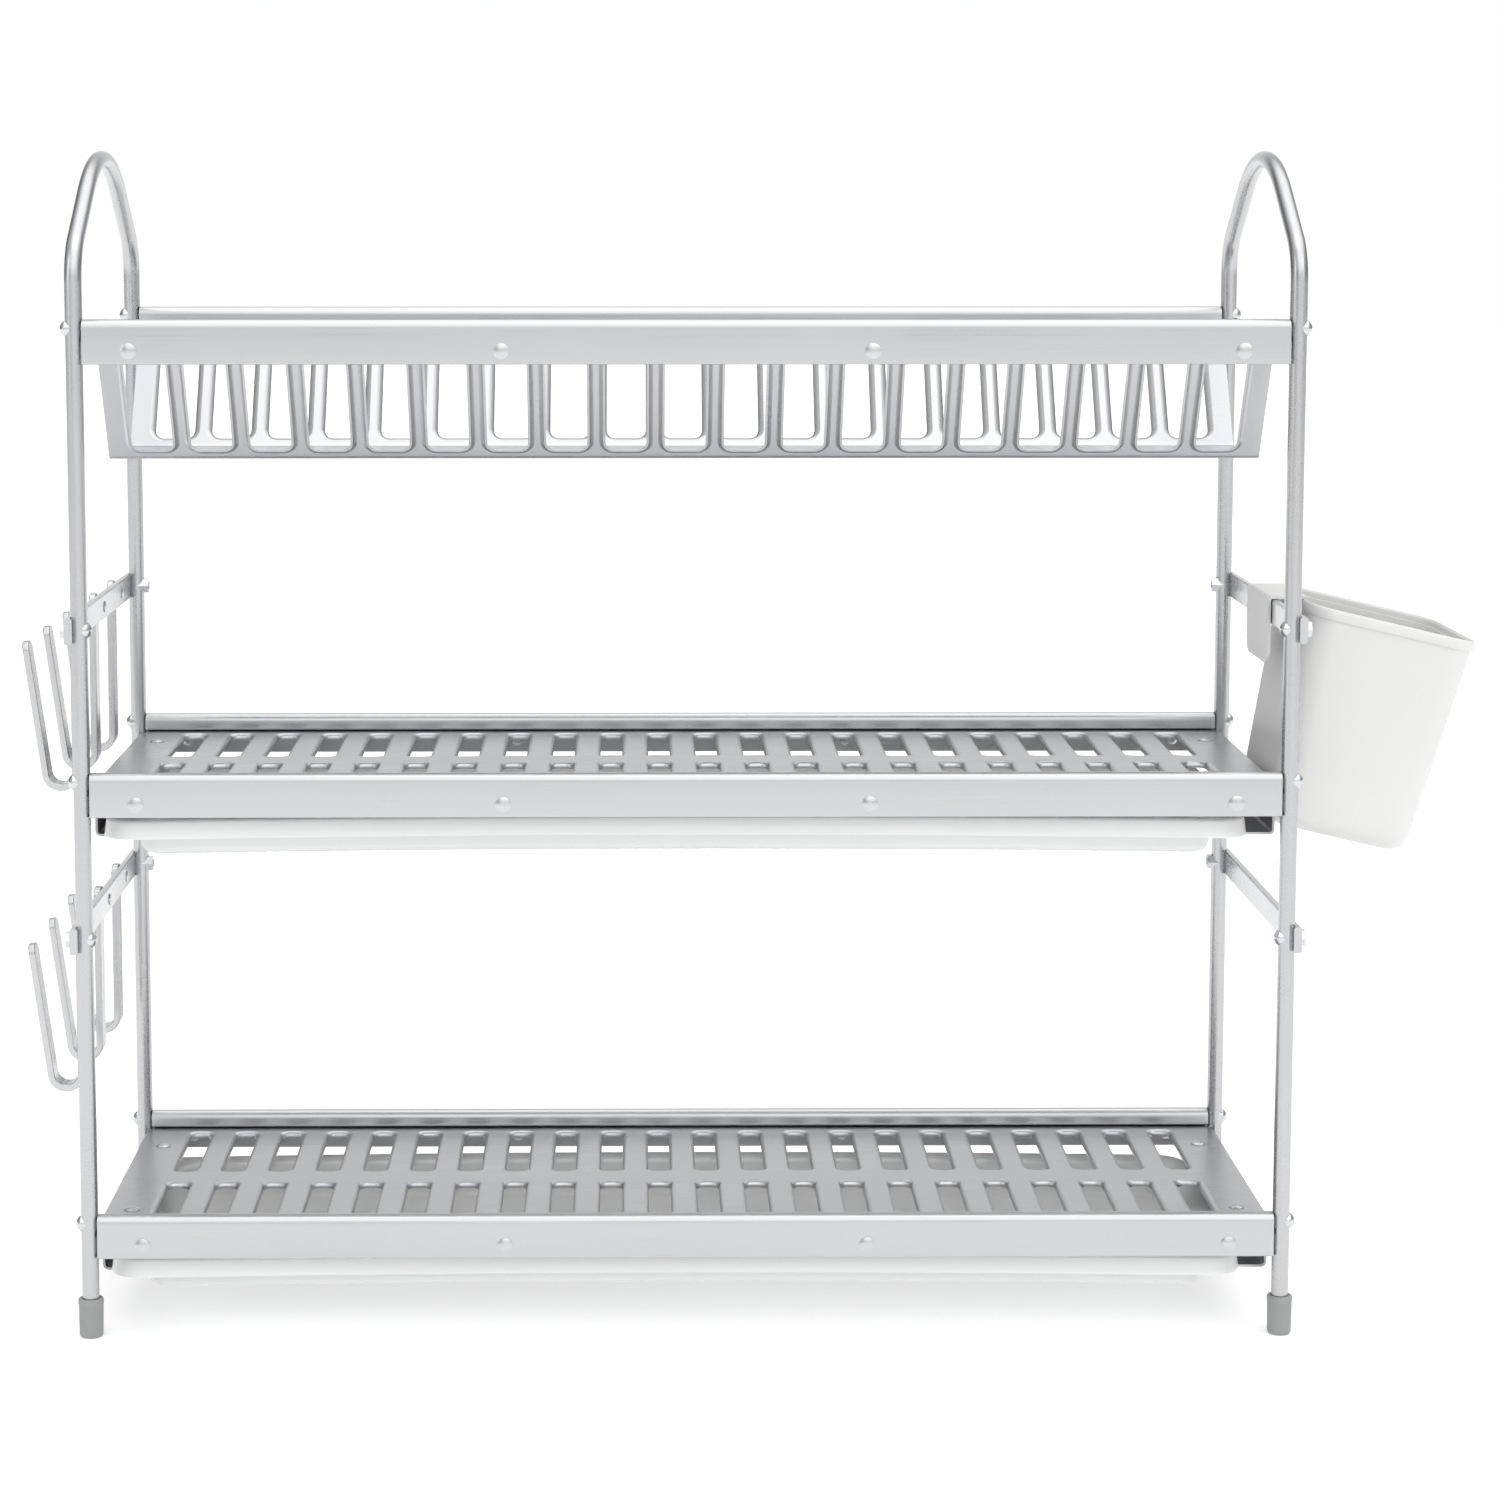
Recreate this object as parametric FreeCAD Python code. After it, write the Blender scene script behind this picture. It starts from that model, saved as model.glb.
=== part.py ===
import FreeCAD, Part
import math
import os

# Three-tier dish drying rack: two arched tube side frames joined by six rails,
# a slotted plate rack, two slotted shelves, two sliding drip trays, side bars
# with mug hooks on the left and a hung cutlery cup on the right.
# Millimetres. +X is the rack's right, +Y its back, +Z up. The origin lies on
# the floor, midway between the four feet.

Vector = FreeCAD.Vector
ALONG_X = Vector(1, 0, 0)
ALONG_Y = Vector(0, 1, 0)
ALONG_Z = Vector(0, 0, 1)

# Side frames
POST_SPACING_X = 600.0
POST_SPACING_Y = 200.0
RACK_HEIGHT = 595.2
TUBE_RADIUS = 4.25
TUBE_WALL = 1.0
CROWN_RADIUS = 97.0
SHOULDER_RADIUS = 26.0
FLANK_ANGLE = 34.0

# Foot caps
FOOT_HEIGHT = 20.0
FOOT_TOP_RADIUS = 6.4
FOOT_BASE_RADIUS = 6.1
FOOT_SOLE = 3.0
FOOT_ROUNDING = 1.4

# Tiers and rails
TIER_TOPS = {"bottom": 63.0, "middle": 287.5, "top": 512.0}
SIDES = {"front": -1, "rear": 1}
HANDS = {"left": -1, "right": 1}
RAIL_HEIGHT = 22.0
RAIL_GAP = 0.05
RAIL_WEB = 1.4
BOSS_RADIUS = 4.6
SCREW_RADIUS = 1.9
SCREW_LENGTH = 22.0
SCREW_HEAD_RADIUS = 4.0
SCREW_HEAD_HEIGHT = 2.6

# Pressed sheets
SHEET = 1.2
BEND_RADIUS = 1.6
SHEET_DROP = 9.5
FLANGE_DEPTH = 12.5

# Slotted shelves
SHELF_HALF_LENGTH = 297.5
SHELF_WIDE_DEPTH = 88.0
SLOT_COLUMNS = 22
SLOT_PITCH = 25.4
SLOT_WIDTH = 11.6
SLOT_LENGTH = 76.6
SLOT_ROW_Y = 49.3
SLOT_CORNER = 4.0
COLLAR_WALL = 1.1
COLLAR_DEPTH = 2.6
COLLAR_ROUNDING = 0.9

# Plate rack
RACK_HALF_LENGTH = 293.0
RACK_MOUTH_Y = 76.6
RACK_FLOOR_Y = 37.0
RACK_FLOOR_Z = 440.0
RACK_SLOTS = 19
RACK_SLOT_PITCH = 30.0
RACK_SLOT_WIDTH = 20.8
RACK_SLOT_OUTER_Y = 97.5
RACK_SLOT_CORNER = 4.5
RACK_SLOT_LIFT = 5.0
RACK_FLANGE_DEPTH = 10.0

# Tray guides under the shelf ends
GUIDE_HALF_LENGTH = 76.0
GUIDE_LIP_DROP = 35.1
GUIDE_WIDTH = 19.0

# Drip trays
TRAY_HALF_X = 287.5
TRAY_HALF_Y = 95.0
TRAY_SHIFT = -5.0
TRAY_WALL = 1.6
TRAY_RIM_DROP = 25.1
TRAY_RIM_HEIGHT = 9.8
TRAY_DEPTH = 21.4
TRAY_FLARE = 1.0
TRAY_CORNER = 17.0
TRAY_BODY_CORNER = 13.0
TRAY_OVERHANG = 16.0
TRAY_DRAFT = 3.5
TRAY_FLOOR_ROUNDING = 7.0

# Side bars, their bolts and nuts
BAR_LEVELS = {"upper": 358.8, "lower": 203.5}
BAR_INNER_X = 302.5
BAR_THICKNESS = 4.0
BAR_HEIGHT = 13.0
BAR_HALF_LENGTH = 107.0
BAR_ROUNDING = 1.1
BOLT_RADIUS = 2.0
BOLT_HEAD_RADIUS = 3.9
BOLT_HEAD_HEIGHT = 2.2
NUT_ACROSS_FLATS = 7.4
NUT_HEIGHT = 2.6
BOLT_END = 0.4

# Mug hooks
HOOK_Y = (-62.0, 0.0, 62.0)
HOOK_THICKNESS = 3.5
HOOK_WIDTH = 12.0
HOOK_DROP = 86.0
HOOK_BEND_RADIUS = 7.65
HOOK_LEAN = 7.8
HOOK_TIP_DROP = 10.0
HOOK_TOP_RISE = 7.0
HOOK_END_ROUNDING = 5.0

# Rivets
RAIL_RIVET_X = (-273.0, -91.0, 91.0, 273.0)
RAIL_RIVET_DROP = 15.4
SHELF_RIVET_X = 284.5
SHELF_RIVET_Y = 60.0
RIVET_RADIUS = 2.0
RIVET_HEAD_RADIUS = 4.0
RIVET_HEAD_HEIGHT = 1.3
RIVET_TAIL_RADIUS = 3.0
RIVET_TAIL_HEIGHT = 1.1

# Cutlery cup
CUP_FOOT_X = 335.4
CUP_FOOT_Z = 243.0
CUP_LEAN = 13.3
CUP_HEIGHT = 115.6
CUP_MOUTH = (43.2, 54.4)
CUP_FOOT = (37.4, 48.5)
CUP_CORNER = 14.0
CUP_WALL = 1.8
CUP_ROUNDING = 10.0
CUP_RIM_HEIGHT = 5.5
CUP_RIM_PROUD = 1.1
HANGER_HALF_WIDTH = 30.0
HANGER_THICKNESS = 1.6
HANGER_DROP = 34.0
HANGER_GAP = 0.3
HANGER_CORNER = 8.0
HANGER_CHAMFER = 1.2
HANGER_STEP = 6.0

HALF_X = POST_SPACING_X / 2
HALF_Y = POST_SPACING_Y / 2
RAIL_HALF_LENGTH = HALF_X - TUBE_RADIUS - RAIL_GAP
RAIL_FACE_Y = HALF_Y + BOSS_RADIUS
FLANGE_Y = RAIL_FACE_Y - RAIL_WEB
BAR_OUTER_X = BAR_INNER_X + BAR_THICKNESS
OVERCUT = 5.0


# ---- shape helpers ----

def block(x, y, z):
    """Box from three (low, high) pairs."""
    size = [max(pair) - min(pair) for pair in (x, y, z)]
    return Part.makeBox(*size, Vector(min(x), min(y), min(z)))


def rounded_path(points, radius):
    """Open wire through the points, each inner corner turned by a tangent arc."""
    edges = []
    start = points[0]
    for before, corner, after in zip(points, points[1:], points[2:]):
        back = (before - corner).normalize()
        ahead = (after - corner).normalize()
        half = back.getAngle(ahead) / 2
        reach = radius / math.tan(half)
        bisector = (back + ahead).normalize()
        first = corner + back * reach
        last = corner + ahead * reach
        middle = corner + bisector * (radius / math.sin(half) - radius)
        edges.append(Part.LineSegment(start, first).toShape())
        edges.append(Part.Arc(first, middle, last).toShape())
        start = last
    edges.append(Part.LineSegment(start, points[-1]).toShape())
    return Part.Wire(edges)


def folded_sheet(points, inward, direction, length):
    """Sheet folded along its outer line; inward is +1 or -1 for the side the metal lies on."""
    path = rounded_path(points, BEND_RADIUS)
    face = path.makeOffset2D(inward * SHEET, 0, True, True)
    return face.extrude(direction * length)


def rounded_rectangle(half_x, half_y, radius, z=0.0, centre_x=0.0, centre_y=0.0):
    """Closed wire of a rounded rectangle that lies flat at height z."""
    inner_x = half_x - radius
    inner_y = half_y - radius
    edges = []
    for turn in range(4):
        quarter = math.radians(90 * turn)
        sign_x = (1, -1, -1, 1)[turn]
        sign_y = (1, 1, -1, -1)[turn]
        hub = Vector(centre_x + sign_x * inner_x, centre_y + sign_y * inner_y, z)
        arc = [hub + Vector(math.cos(a), math.sin(a), 0) * radius
               for a in (quarter, quarter + math.pi / 4, quarter + math.pi / 2)]
        if edges:
            edges.append(Part.LineSegment(edges[-1].Vertexes[-1].Point, arc[0]).toShape())
        edges.append(Part.Arc(*arc).toShape())
    edges.append(Part.LineSegment(edges[-1].Vertexes[-1].Point, edges[0].Vertexes[0].Point).toShape())
    return Part.Wire(edges)


def prism(wire, direction):
    return Part.Face(wire).extrude(direction)


def lofted(*wires):
    return Part.makeLoft(list(wires), True, True)


def dome(radius, height, base, direction):
    """Spherical cap whose flat side is at base and which rises along direction."""
    sphere_radius = (radius ** 2 + height ** 2) / (2 * height)
    ball = Part.makeSphere(sphere_radius, base - direction * (sphere_radius - height))
    return ball.common(Part.makeCylinder(radius, height, base, direction))


def hexagon(across_flats, height, base, direction):
    """Hexagonal prism on base, along plus or minus X."""
    corner_radius = across_flats / math.sqrt(3)
    corners = []
    for step in range(7):
        angle = math.radians(60 * step)
        corners.append(base + Vector(0, math.cos(angle), math.sin(angle)) * corner_radius)
    return prism(Part.makePolygon(corners), direction * height)


def edges_where(shape, test):
    return [edge for edge in shape.Edges if test(edge)]


def group(solids):
    return Part.makeCompound([solid for shape in solids for solid in shape.Solids])


def post_cylinder(hand, side, z, reach=12.0):
    """Outside of one post, for about the height of a fastener at z."""
    base = Vector(hand * HALF_X, side * HALF_Y, z - reach)
    return Part.makeCylinder(TUBE_RADIUS, 2 * reach, base, ALONG_Z)


# ---- side frames and feet ----

def arch_path(x):
    """Centreline of a side frame, up the front leg, over the arch and down the rear leg."""
    angle = math.radians(FLANK_ANGLE)
    crown_z = RACK_HEIGHT - TUBE_RADIUS
    crown_end_y = CROWN_RADIUS * math.sin(angle)
    crown_end_z = crown_z - CROWN_RADIUS * (1 - math.cos(angle))
    shoulder_end_y = HALF_Y - SHOULDER_RADIUS * (1 - math.sin(angle))
    shoulder_end_z = crown_end_z - (shoulder_end_y - crown_end_y) * math.tan(angle)
    leg_top_z = shoulder_end_z - SHOULDER_RADIUS * math.cos(angle)
    half_turn = (math.pi / 2 - angle) / 2
    shoulder_mid_y = HALF_Y - SHOULDER_RADIUS * (1 - math.cos(half_turn))
    shoulder_mid_z = leg_top_z + SHOULDER_RADIUS * math.sin(half_turn)

    def point(side, y, z):
        return Vector(x, side * y, z)

    def leg_and_shoulder(side):
        foot = point(side, HALF_Y, FOOT_SOLE)
        leg_top = point(side, HALF_Y, leg_top_z)
        shoulder_mid = point(side, shoulder_mid_y, shoulder_mid_z)
        shoulder_end = point(side, shoulder_end_y, shoulder_end_z)
        crown_end = point(side, crown_end_y, crown_end_z)
        return [
            Part.LineSegment(foot, leg_top).toShape(),
            Part.Arc(leg_top, shoulder_mid, shoulder_end).toShape(),
            Part.LineSegment(shoulder_end, crown_end).toShape(),
        ]

    crown = Part.Arc(
        point(-1, crown_end_y, crown_end_z), point(1, 0, crown_z), point(1, crown_end_y, crown_end_z)
    ).toShape()
    edges = leg_and_shoulder(-1) + [crown] + leg_and_shoulder(1)
    return Part.Wire(Part.__sortEdges__(edges))


def fastener_levels():
    """Radius and height of every hole that crosses each post."""
    holes = [(SCREW_RADIUS, top - BOSS_RADIUS) for top in TIER_TOPS.values()]
    holes += [(BOLT_RADIUS, level) for level in BAR_LEVELS.values()]
    return holes


def side_frame(hand):
    x = hand * HALF_X
    path = arch_path(x)
    start = Vector(x, -HALF_Y, FOOT_SOLE)
    outer, inner = [
        path.makePipeShell([Part.Wire([Part.makeCircle(radius, start, ALONG_Z)])], True, True)
        for radius in (TUBE_RADIUS, TUBE_RADIUS - TUBE_WALL)
    ]
    holes = []
    for side in SIDES.values():
        for radius, level in fastener_levels():
            base = Vector(x - 2 * TUBE_RADIUS, side * HALF_Y, level)
            holes.append(Part.makeCylinder(radius, 4 * TUBE_RADIUS, base, ALONG_X))
    return outer.cut(inner).cut(holes)


def foot(hand, side):
    base = Vector(hand * HALF_X, side * HALF_Y, 0)
    cap = Part.makeCone(FOOT_BASE_RADIUS, FOOT_TOP_RADIUS, FOOT_HEIGHT, base)
    rims = edges_where(cap, lambda e: e.Closed and e.BoundBox.ZLength < 0.01)
    cap = cap.makeFillet(FOOT_ROUNDING, rims)
    socket = Part.makeCylinder(TUBE_RADIUS, FOOT_HEIGHT, base + ALONG_Z * FOOT_SOLE)
    return cap.cut(socket)


# ---- rails ----

def rail_rivet_holes(top, reach):
    holes = []
    for side in SIDES.values():
        for x in RAIL_RIVET_X:
            base = Vector(x, side * (RAIL_FACE_Y - reach), top - RAIL_RIVET_DROP)
            holes.append(Part.makeCylinder(RIVET_RADIUS, 2 * reach, base, ALONG_Y * side))
    return holes


def rail(side, top):
    """Rolled rail: a round screw boss along its top edge and a flat face that hangs from it."""
    start = Vector(-RAIL_HALF_LENGTH, side * HALF_Y, top - BOSS_RADIUS)
    boss = Part.makeCylinder(BOSS_RADIUS, 2 * RAIL_HALF_LENGTH, start, ALONG_X)
    bore = Part.makeCylinder(SCREW_RADIUS, 2 * RAIL_HALF_LENGTH, start, ALONG_X)
    web = block(
        (-RAIL_HALF_LENGTH, RAIL_HALF_LENGTH),
        (side * RAIL_FACE_Y, side * FLANGE_Y),
        (top - RAIL_HEIGHT, top - BOSS_RADIUS),
    )
    foot_z = top - RAIL_HEIGHT + RAIL_GAP
    low_edges = edges_where(web, lambda e: e.BoundBox.ZMax < foot_z and e.BoundBox.XLength > RAIL_WEB)
    web = web.makeFillet(RAIL_WEB * 0.45, low_edges)
    return boss.fuse(web).cut([bore] + rail_rivet_holes(top, OVERCUT)).removeSplitter()


def rail_screws():
    """Screws from outside each post into the ends of the rail bosses."""
    screws = []
    for hand in HANDS.values():
        outward = ALONG_X * hand
        for side in SIDES.values():
            for top in TIER_TOPS.values():
                level = top - BOSS_RADIUS
                seat = Vector(hand * (HALF_X + TUBE_RADIUS), side * HALF_Y, level)
                collar = Part.makeCylinder(SCREW_HEAD_RADIUS, TUBE_RADIUS, seat, outward * -1)
                collar = collar.cut(post_cylinder(hand, side, level))
                shank = Part.makeCylinder(SCREW_RADIUS, SCREW_LENGTH, seat, outward * -1)
                cap = dome(SCREW_HEAD_RADIUS, SCREW_HEAD_HEIGHT, seat, outward)
                screws.append(cap.fuse([collar, shank]))
    return group(screws)


def rivet(seat, outward, grip):
    """Rivet with its head on seat and its tail on the far side of the grip."""
    head = dome(RIVET_HEAD_RADIUS, RIVET_HEAD_HEIGHT, seat, outward)
    shank = Part.makeCylinder(RIVET_RADIUS, grip, seat, outward * -1)
    tail = dome(RIVET_TAIL_RADIUS, RIVET_TAIL_HEIGHT, seat - outward * grip, outward * -1)
    return head.fuse([shank, tail])


def rail_rivets():
    rivets = []
    for side in SIDES.values():
        for top in TIER_TOPS.values():
            for x in RAIL_RIVET_X:
                seat = Vector(x, side * RAIL_FACE_Y, top - RAIL_RIVET_DROP)
                rivets.append(rivet(seat, ALONG_Y * side, RAIL_WEB + SHEET))
    return group(rivets)


# ---- shelves and tray guides ----

def slot_centres():
    first = -(SLOT_COLUMNS - 1) / 2 * SLOT_PITCH
    return [(first + column * SLOT_PITCH, row * SLOT_ROW_Y)
            for row in (-1, 1) for column in range(SLOT_COLUMNS)]


def shelf_rivet_centres():
    return [(hand * SHELF_RIVET_X, side * SHELF_RIVET_Y)
            for hand in HANDS.values() for side in SIDES.values()]


def slot_collar(plate_z):
    """Turned-down rim of one drain slot, rounded over at the top."""
    half_x = SLOT_WIDTH / 2
    half_y = SLOT_LENGTH / 2
    inner = rounded_rectangle(half_x, half_y, SLOT_CORNER, plate_z)
    outer = rounded_rectangle(
        half_x + COLLAR_WALL, half_y + COLLAR_WALL, SLOT_CORNER + COLLAR_WALL, plate_z
    )
    ring = prism(outer, ALONG_Z * -COLLAR_DEPTH).cut(prism(inner, ALONG_Z * -COLLAR_DEPTH))

    def on_upper_rim(edge):
        box = edge.BoundBox
        inside = max(abs(box.XMin), abs(box.XMax)) < half_x + 0.01
        inside = inside and max(abs(box.YMin), abs(box.YMax)) < half_y + 0.01
        return box.ZMin > plate_z - 0.01 and inside

    return ring.makeFillet(COLLAR_ROUNDING, edges_where(ring, on_upper_rim))


def shelf(top):
    """Slotted sheet whose front and rear edges are folded down behind the rails."""
    plate_z = top - SHEET_DROP
    fold_z = plate_z - FLANGE_DEPTH
    points = [
        Vector(-RAIL_HALF_LENGTH, -FLANGE_Y, fold_z),
        Vector(-RAIL_HALF_LENGTH, -FLANGE_Y, plate_z),
        Vector(-RAIL_HALF_LENGTH, FLANGE_Y, plate_z),
        Vector(-RAIL_HALF_LENGTH, FLANGE_Y, fold_z),
    ]
    sheet = folded_sheet(points, 1, ALONG_X, 2 * RAIL_HALF_LENGTH)
    wide = block(
        (-SHELF_HALF_LENGTH, SHELF_HALF_LENGTH),
        (-SHELF_WIDE_DEPTH, SHELF_WIDE_DEPTH),
        (plate_z - SHEET, plate_z),
    )
    collar = slot_collar(plate_z)
    half_x = SLOT_WIDTH / 2 + COLLAR_WALL
    half_y = SLOT_LENGTH / 2 + COLLAR_WALL
    outline = rounded_rectangle(half_x, half_y, SLOT_CORNER + COLLAR_WALL, plate_z + OVERCUT)
    opening = prism(outline, ALONG_Z * -(SHEET + 2 * OVERCUT))
    openings = []
    collars = []
    for x, y in slot_centres():
        openings.append(opening.translated(Vector(x, y, 0)))
        collars.append(collar.translated(Vector(x, y, 0)))
    holes = [
        Part.makeCylinder(RIVET_RADIUS, 4 * SHEET, Vector(x, y, plate_z - 2 * SHEET))
        for x, y in shelf_rivet_centres()
    ]
    plate = sheet.fuse(wide).removeSplitter()
    plate = plate.cut(openings + holes + rail_rivet_holes(top, OVERCUT))
    return plate.fuse(collars)


def tray_guide(hand, top):
    """Channel under a shelf end; its low lip carries the rim of the drip tray."""
    high_z = top - SHEET_DROP - SHEET
    low_z = top - GUIDE_LIP_DROP - SHEET
    inner_x = SHELF_HALF_LENGTH - GUIDE_WIDTH
    corners = [(inner_x, high_z), (SHELF_HALF_LENGTH, high_z), (SHELF_HALF_LENGTH, low_z), (inner_x, low_z)]
    points = [Vector(x, -GUIDE_HALF_LENGTH, z) for x, z in corners]
    channel = folded_sheet(points, -1, ALONG_Y, 2 * GUIDE_HALF_LENGTH)
    if hand < 0:
        channel = channel.mirror(Vector(0, 0, 0), ALONG_X)
    holes = []
    for side in SIDES.values():
        base = Vector(hand * SHELF_RIVET_X, side * SHELF_RIVET_Y, high_z - 2 * SHEET)
        holes.append(Part.makeCylinder(RIVET_RADIUS, 4 * SHEET, base))
    return channel.cut(holes)


def shelf_rivets():
    rivets = []
    for tier in ("middle", "bottom"):
        for x, y in shelf_rivet_centres():
            rivets.append(rivet(Vector(x, y, TIER_TOPS[tier] - SHEET_DROP), ALONG_Z, 2 * SHEET))
    return group(rivets)


# ---- plate rack ----

def rack_slot_tool(side):
    """Cutter for one plate slot: through the flange, over the bend and down the wall."""
    flange_z = TIER_TOPS["top"] - SHEET_DROP
    half = RACK_SLOT_WIDTH / 2
    wall = Vector(0, RACK_MOUTH_Y - RACK_FLOOR_Y, flange_z - RACK_FLOOR_Z)
    lift = RACK_SLOT_LIFT * wall.Length / wall.z
    inner_y = RACK_MOUTH_Y - 3 * RACK_SLOT_CORNER
    flange_half = (RACK_SLOT_OUTER_Y - inner_y) / 2
    flange_cut = prism(
        rounded_rectangle(
            half, flange_half, RACK_SLOT_CORNER, flange_z + OVERCUT, 0.0, inner_y + flange_half
        ),
        ALONG_Z * -(OVERCUT + 3 * RACK_SLOT_CORNER),
    )
    wall_half = (wall.Length - lift) / 2
    wall_cut = prism(rounded_rectangle(half, wall_half, RACK_SLOT_CORNER), ALONG_Z * 2 * OVERCUT)
    wall_cut.translate(Vector(0, lift + wall_half, -OVERCUT))
    tilt = math.degrees(math.atan2(wall.z, wall.y))
    wall_cut.rotate(Vector(0, 0, 0), ALONG_X, tilt)
    wall_cut.translate(Vector(0, RACK_FLOOR_Y, RACK_FLOOR_Z))
    tool = flange_cut.fuse(wall_cut)
    if side < 0:
        tool = tool.mirror(Vector(0, 0, 0), ALONG_Y)
    return tool


def plate_rack():
    """Sheet folded into a trough, slotted so that plates stand on edge across it."""
    top = TIER_TOPS["top"]
    flange_z = top - SHEET_DROP
    fold_z = flange_z - RACK_FLANGE_DEPTH
    outline = [
        (FLANGE_Y, fold_z), (FLANGE_Y, flange_z), (RACK_MOUTH_Y, flange_z), (RACK_FLOOR_Y, RACK_FLOOR_Z),
    ]
    front = [Vector(-RACK_HALF_LENGTH, -y, z) for y, z in outline]
    rear = [Vector(-RACK_HALF_LENGTH, y, z) for y, z in reversed(outline)]
    sheet = folded_sheet(front + rear, 1, ALONG_X, 2 * RACK_HALF_LENGTH)
    first = -(RACK_SLOTS - 1) / 2 * RACK_SLOT_PITCH
    cuts = rail_rivet_holes(top, OVERCUT)
    for side in SIDES.values():
        tool = rack_slot_tool(side)
        for slot in range(RACK_SLOTS):
            cuts.append(tool.translated(Vector(first + slot * RACK_SLOT_PITCH, 0, 0)))
    return sheet.cut(cuts)


# ---- drip trays ----

def drip_tray(top):
    """Shallow moulded tray with a turned-down rim that rests on the guide lips."""
    rim_z = top - TRAY_RIM_DROP
    floor_z = rim_z - TRAY_DEPTH
    skirt_z = rim_z - TRAY_RIM_HEIGHT
    body_x = TRAY_HALF_X - TRAY_OVERHANG
    body_y = TRAY_HALF_Y - TRAY_OVERHANG

    def ring(half_x, half_y, radius, z):
        return rounded_rectangle(half_x, half_y, radius, z, TRAY_SHIFT)

    def shell(inset, high, low):
        narrow = TRAY_FLARE + inset
        corner = TRAY_CORNER - inset
        upper = ring(TRAY_HALF_X - narrow, TRAY_HALF_Y - narrow, corner - TRAY_FLARE, high)
        lower = ring(TRAY_HALF_X - inset, TRAY_HALF_Y - inset, corner, low)
        return lofted(upper, lower)

    def bowl(inset, high, low, rounding):
        foot = inset + TRAY_DRAFT
        corner = TRAY_BODY_CORNER - inset
        upper = ring(body_x - inset, body_y - inset, corner, high)
        lower = ring(body_x - foot, body_y - foot, corner - TRAY_FLARE, low)
        solid = lofted(upper, lower)
        low_edges = edges_where(solid, lambda e: e.BoundBox.ZMax < low + 0.01)
        return solid.makeFillet(rounding, low_edges)

    rim = shell(0.0, rim_z, skirt_z).cut(shell(TRAY_WALL, rim_z - TRAY_WALL, skirt_z - 0.001))
    body = bowl(0.0, rim_z - TRAY_WALL / 2, floor_z, TRAY_FLOOR_ROUNDING)
    hollow = bowl(TRAY_WALL, rim_z + 1, floor_z + TRAY_WALL, TRAY_FLOOR_ROUNDING - TRAY_WALL)
    return rim.fuse(body).cut(hollow).removeSplitter()


# ---- side bars and hooks ----

def side_bar(hand, level):
    """Flat bar across the outside of two posts, with a saddle where it meets each."""
    bar = block(
        (hand * BAR_INNER_X, hand * BAR_OUTER_X),
        (-BAR_HALF_LENGTH, BAR_HALF_LENGTH),
        (level - BAR_HEIGHT / 2, level + BAR_HEIGHT / 2),
    )
    bar = bar.makeFillet(BAR_ROUNDING, edges_where(bar, lambda e: e.BoundBox.YLength > BAR_HALF_LENGTH))
    cuts = [post_cylinder(hand, side, level) for side in SIDES.values()]
    places = [(side * HALF_Y, BOLT_RADIUS) for side in SIDES.values()]
    if hand < 0:
        places += [(y, RIVET_RADIUS) for y in HOOK_Y]
    for y, radius in places:
        base = Vector(hand * (BAR_INNER_X - OVERCUT), y, level)
        cuts.append(Part.makeCylinder(radius, 3 * OVERCUT, base, ALONG_X * hand))
    return bar.cut(cuts)


def saddled(shape, hand, side, level):
    return shape.cut(post_cylinder(hand, side, level))


def bolt_stations():
    """Hand, side and level of every place where a bar is bolted to a post."""
    return [(hand, side, level) for hand in HANDS.values()
            for side in SIDES.values() for level in BAR_LEVELS.values()]


def bolt_seats(hand, side, level):
    """Seat and outward direction inside the post and outside the bar."""
    outward = ALONG_X * hand
    inner = Vector(hand * (HALF_X - TUBE_RADIUS), side * HALF_Y, level)
    outer = Vector(hand * BAR_OUTER_X, side * HALF_Y, level)
    return (inner, outward * -1), (outer, outward)


def bar_bolts():
    """Front bolts go in from inside the posts, rear bolts from outside the bars."""
    bolts = []
    for hand, side, level in bolt_stations():
        inside, outside = bolt_seats(hand, side, level)
        head_seat, head_way = inside if side < 0 else outside
        nut_seat, nut_way = outside if side < 0 else inside
        cap = dome(BOLT_HEAD_RADIUS, BOLT_HEAD_HEIGHT, head_seat, head_way)
        skirt = Part.makeCylinder(BOLT_HEAD_RADIUS, TUBE_RADIUS, head_seat, head_way * -1)
        length = (nut_seat - head_seat).Length + NUT_HEIGHT + BOLT_END
        shank = Part.makeCylinder(BOLT_RADIUS, length, head_seat, nut_way)
        pieces = [shank]
        if side < 0:
            pieces.append(saddled(skirt, hand, side, level))
        bolts.append(cap.fuse(pieces))
    return group(bolts)


def bar_nuts():
    nuts = []
    for hand, side, level in bolt_stations():
        inside, outside = bolt_seats(hand, side, level)
        seat, way = outside if side < 0 else inside
        nut = hexagon(NUT_ACROSS_FLATS, NUT_HEIGHT, seat, way)
        if side > 0:
            skirt = hexagon(NUT_ACROSS_FLATS, TUBE_RADIUS, seat, way * -1)
            nut = nut.fuse(saddled(skirt, hand, side, level)).removeSplitter()
        length = NUT_HEIGHT + 2 * TUBE_RADIUS
        hole = Part.makeCylinder(BOLT_RADIUS, length, seat - way * TUBE_RADIUS, way)
        nuts.append(nut.cut(hole))
    return group(nuts)


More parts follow.
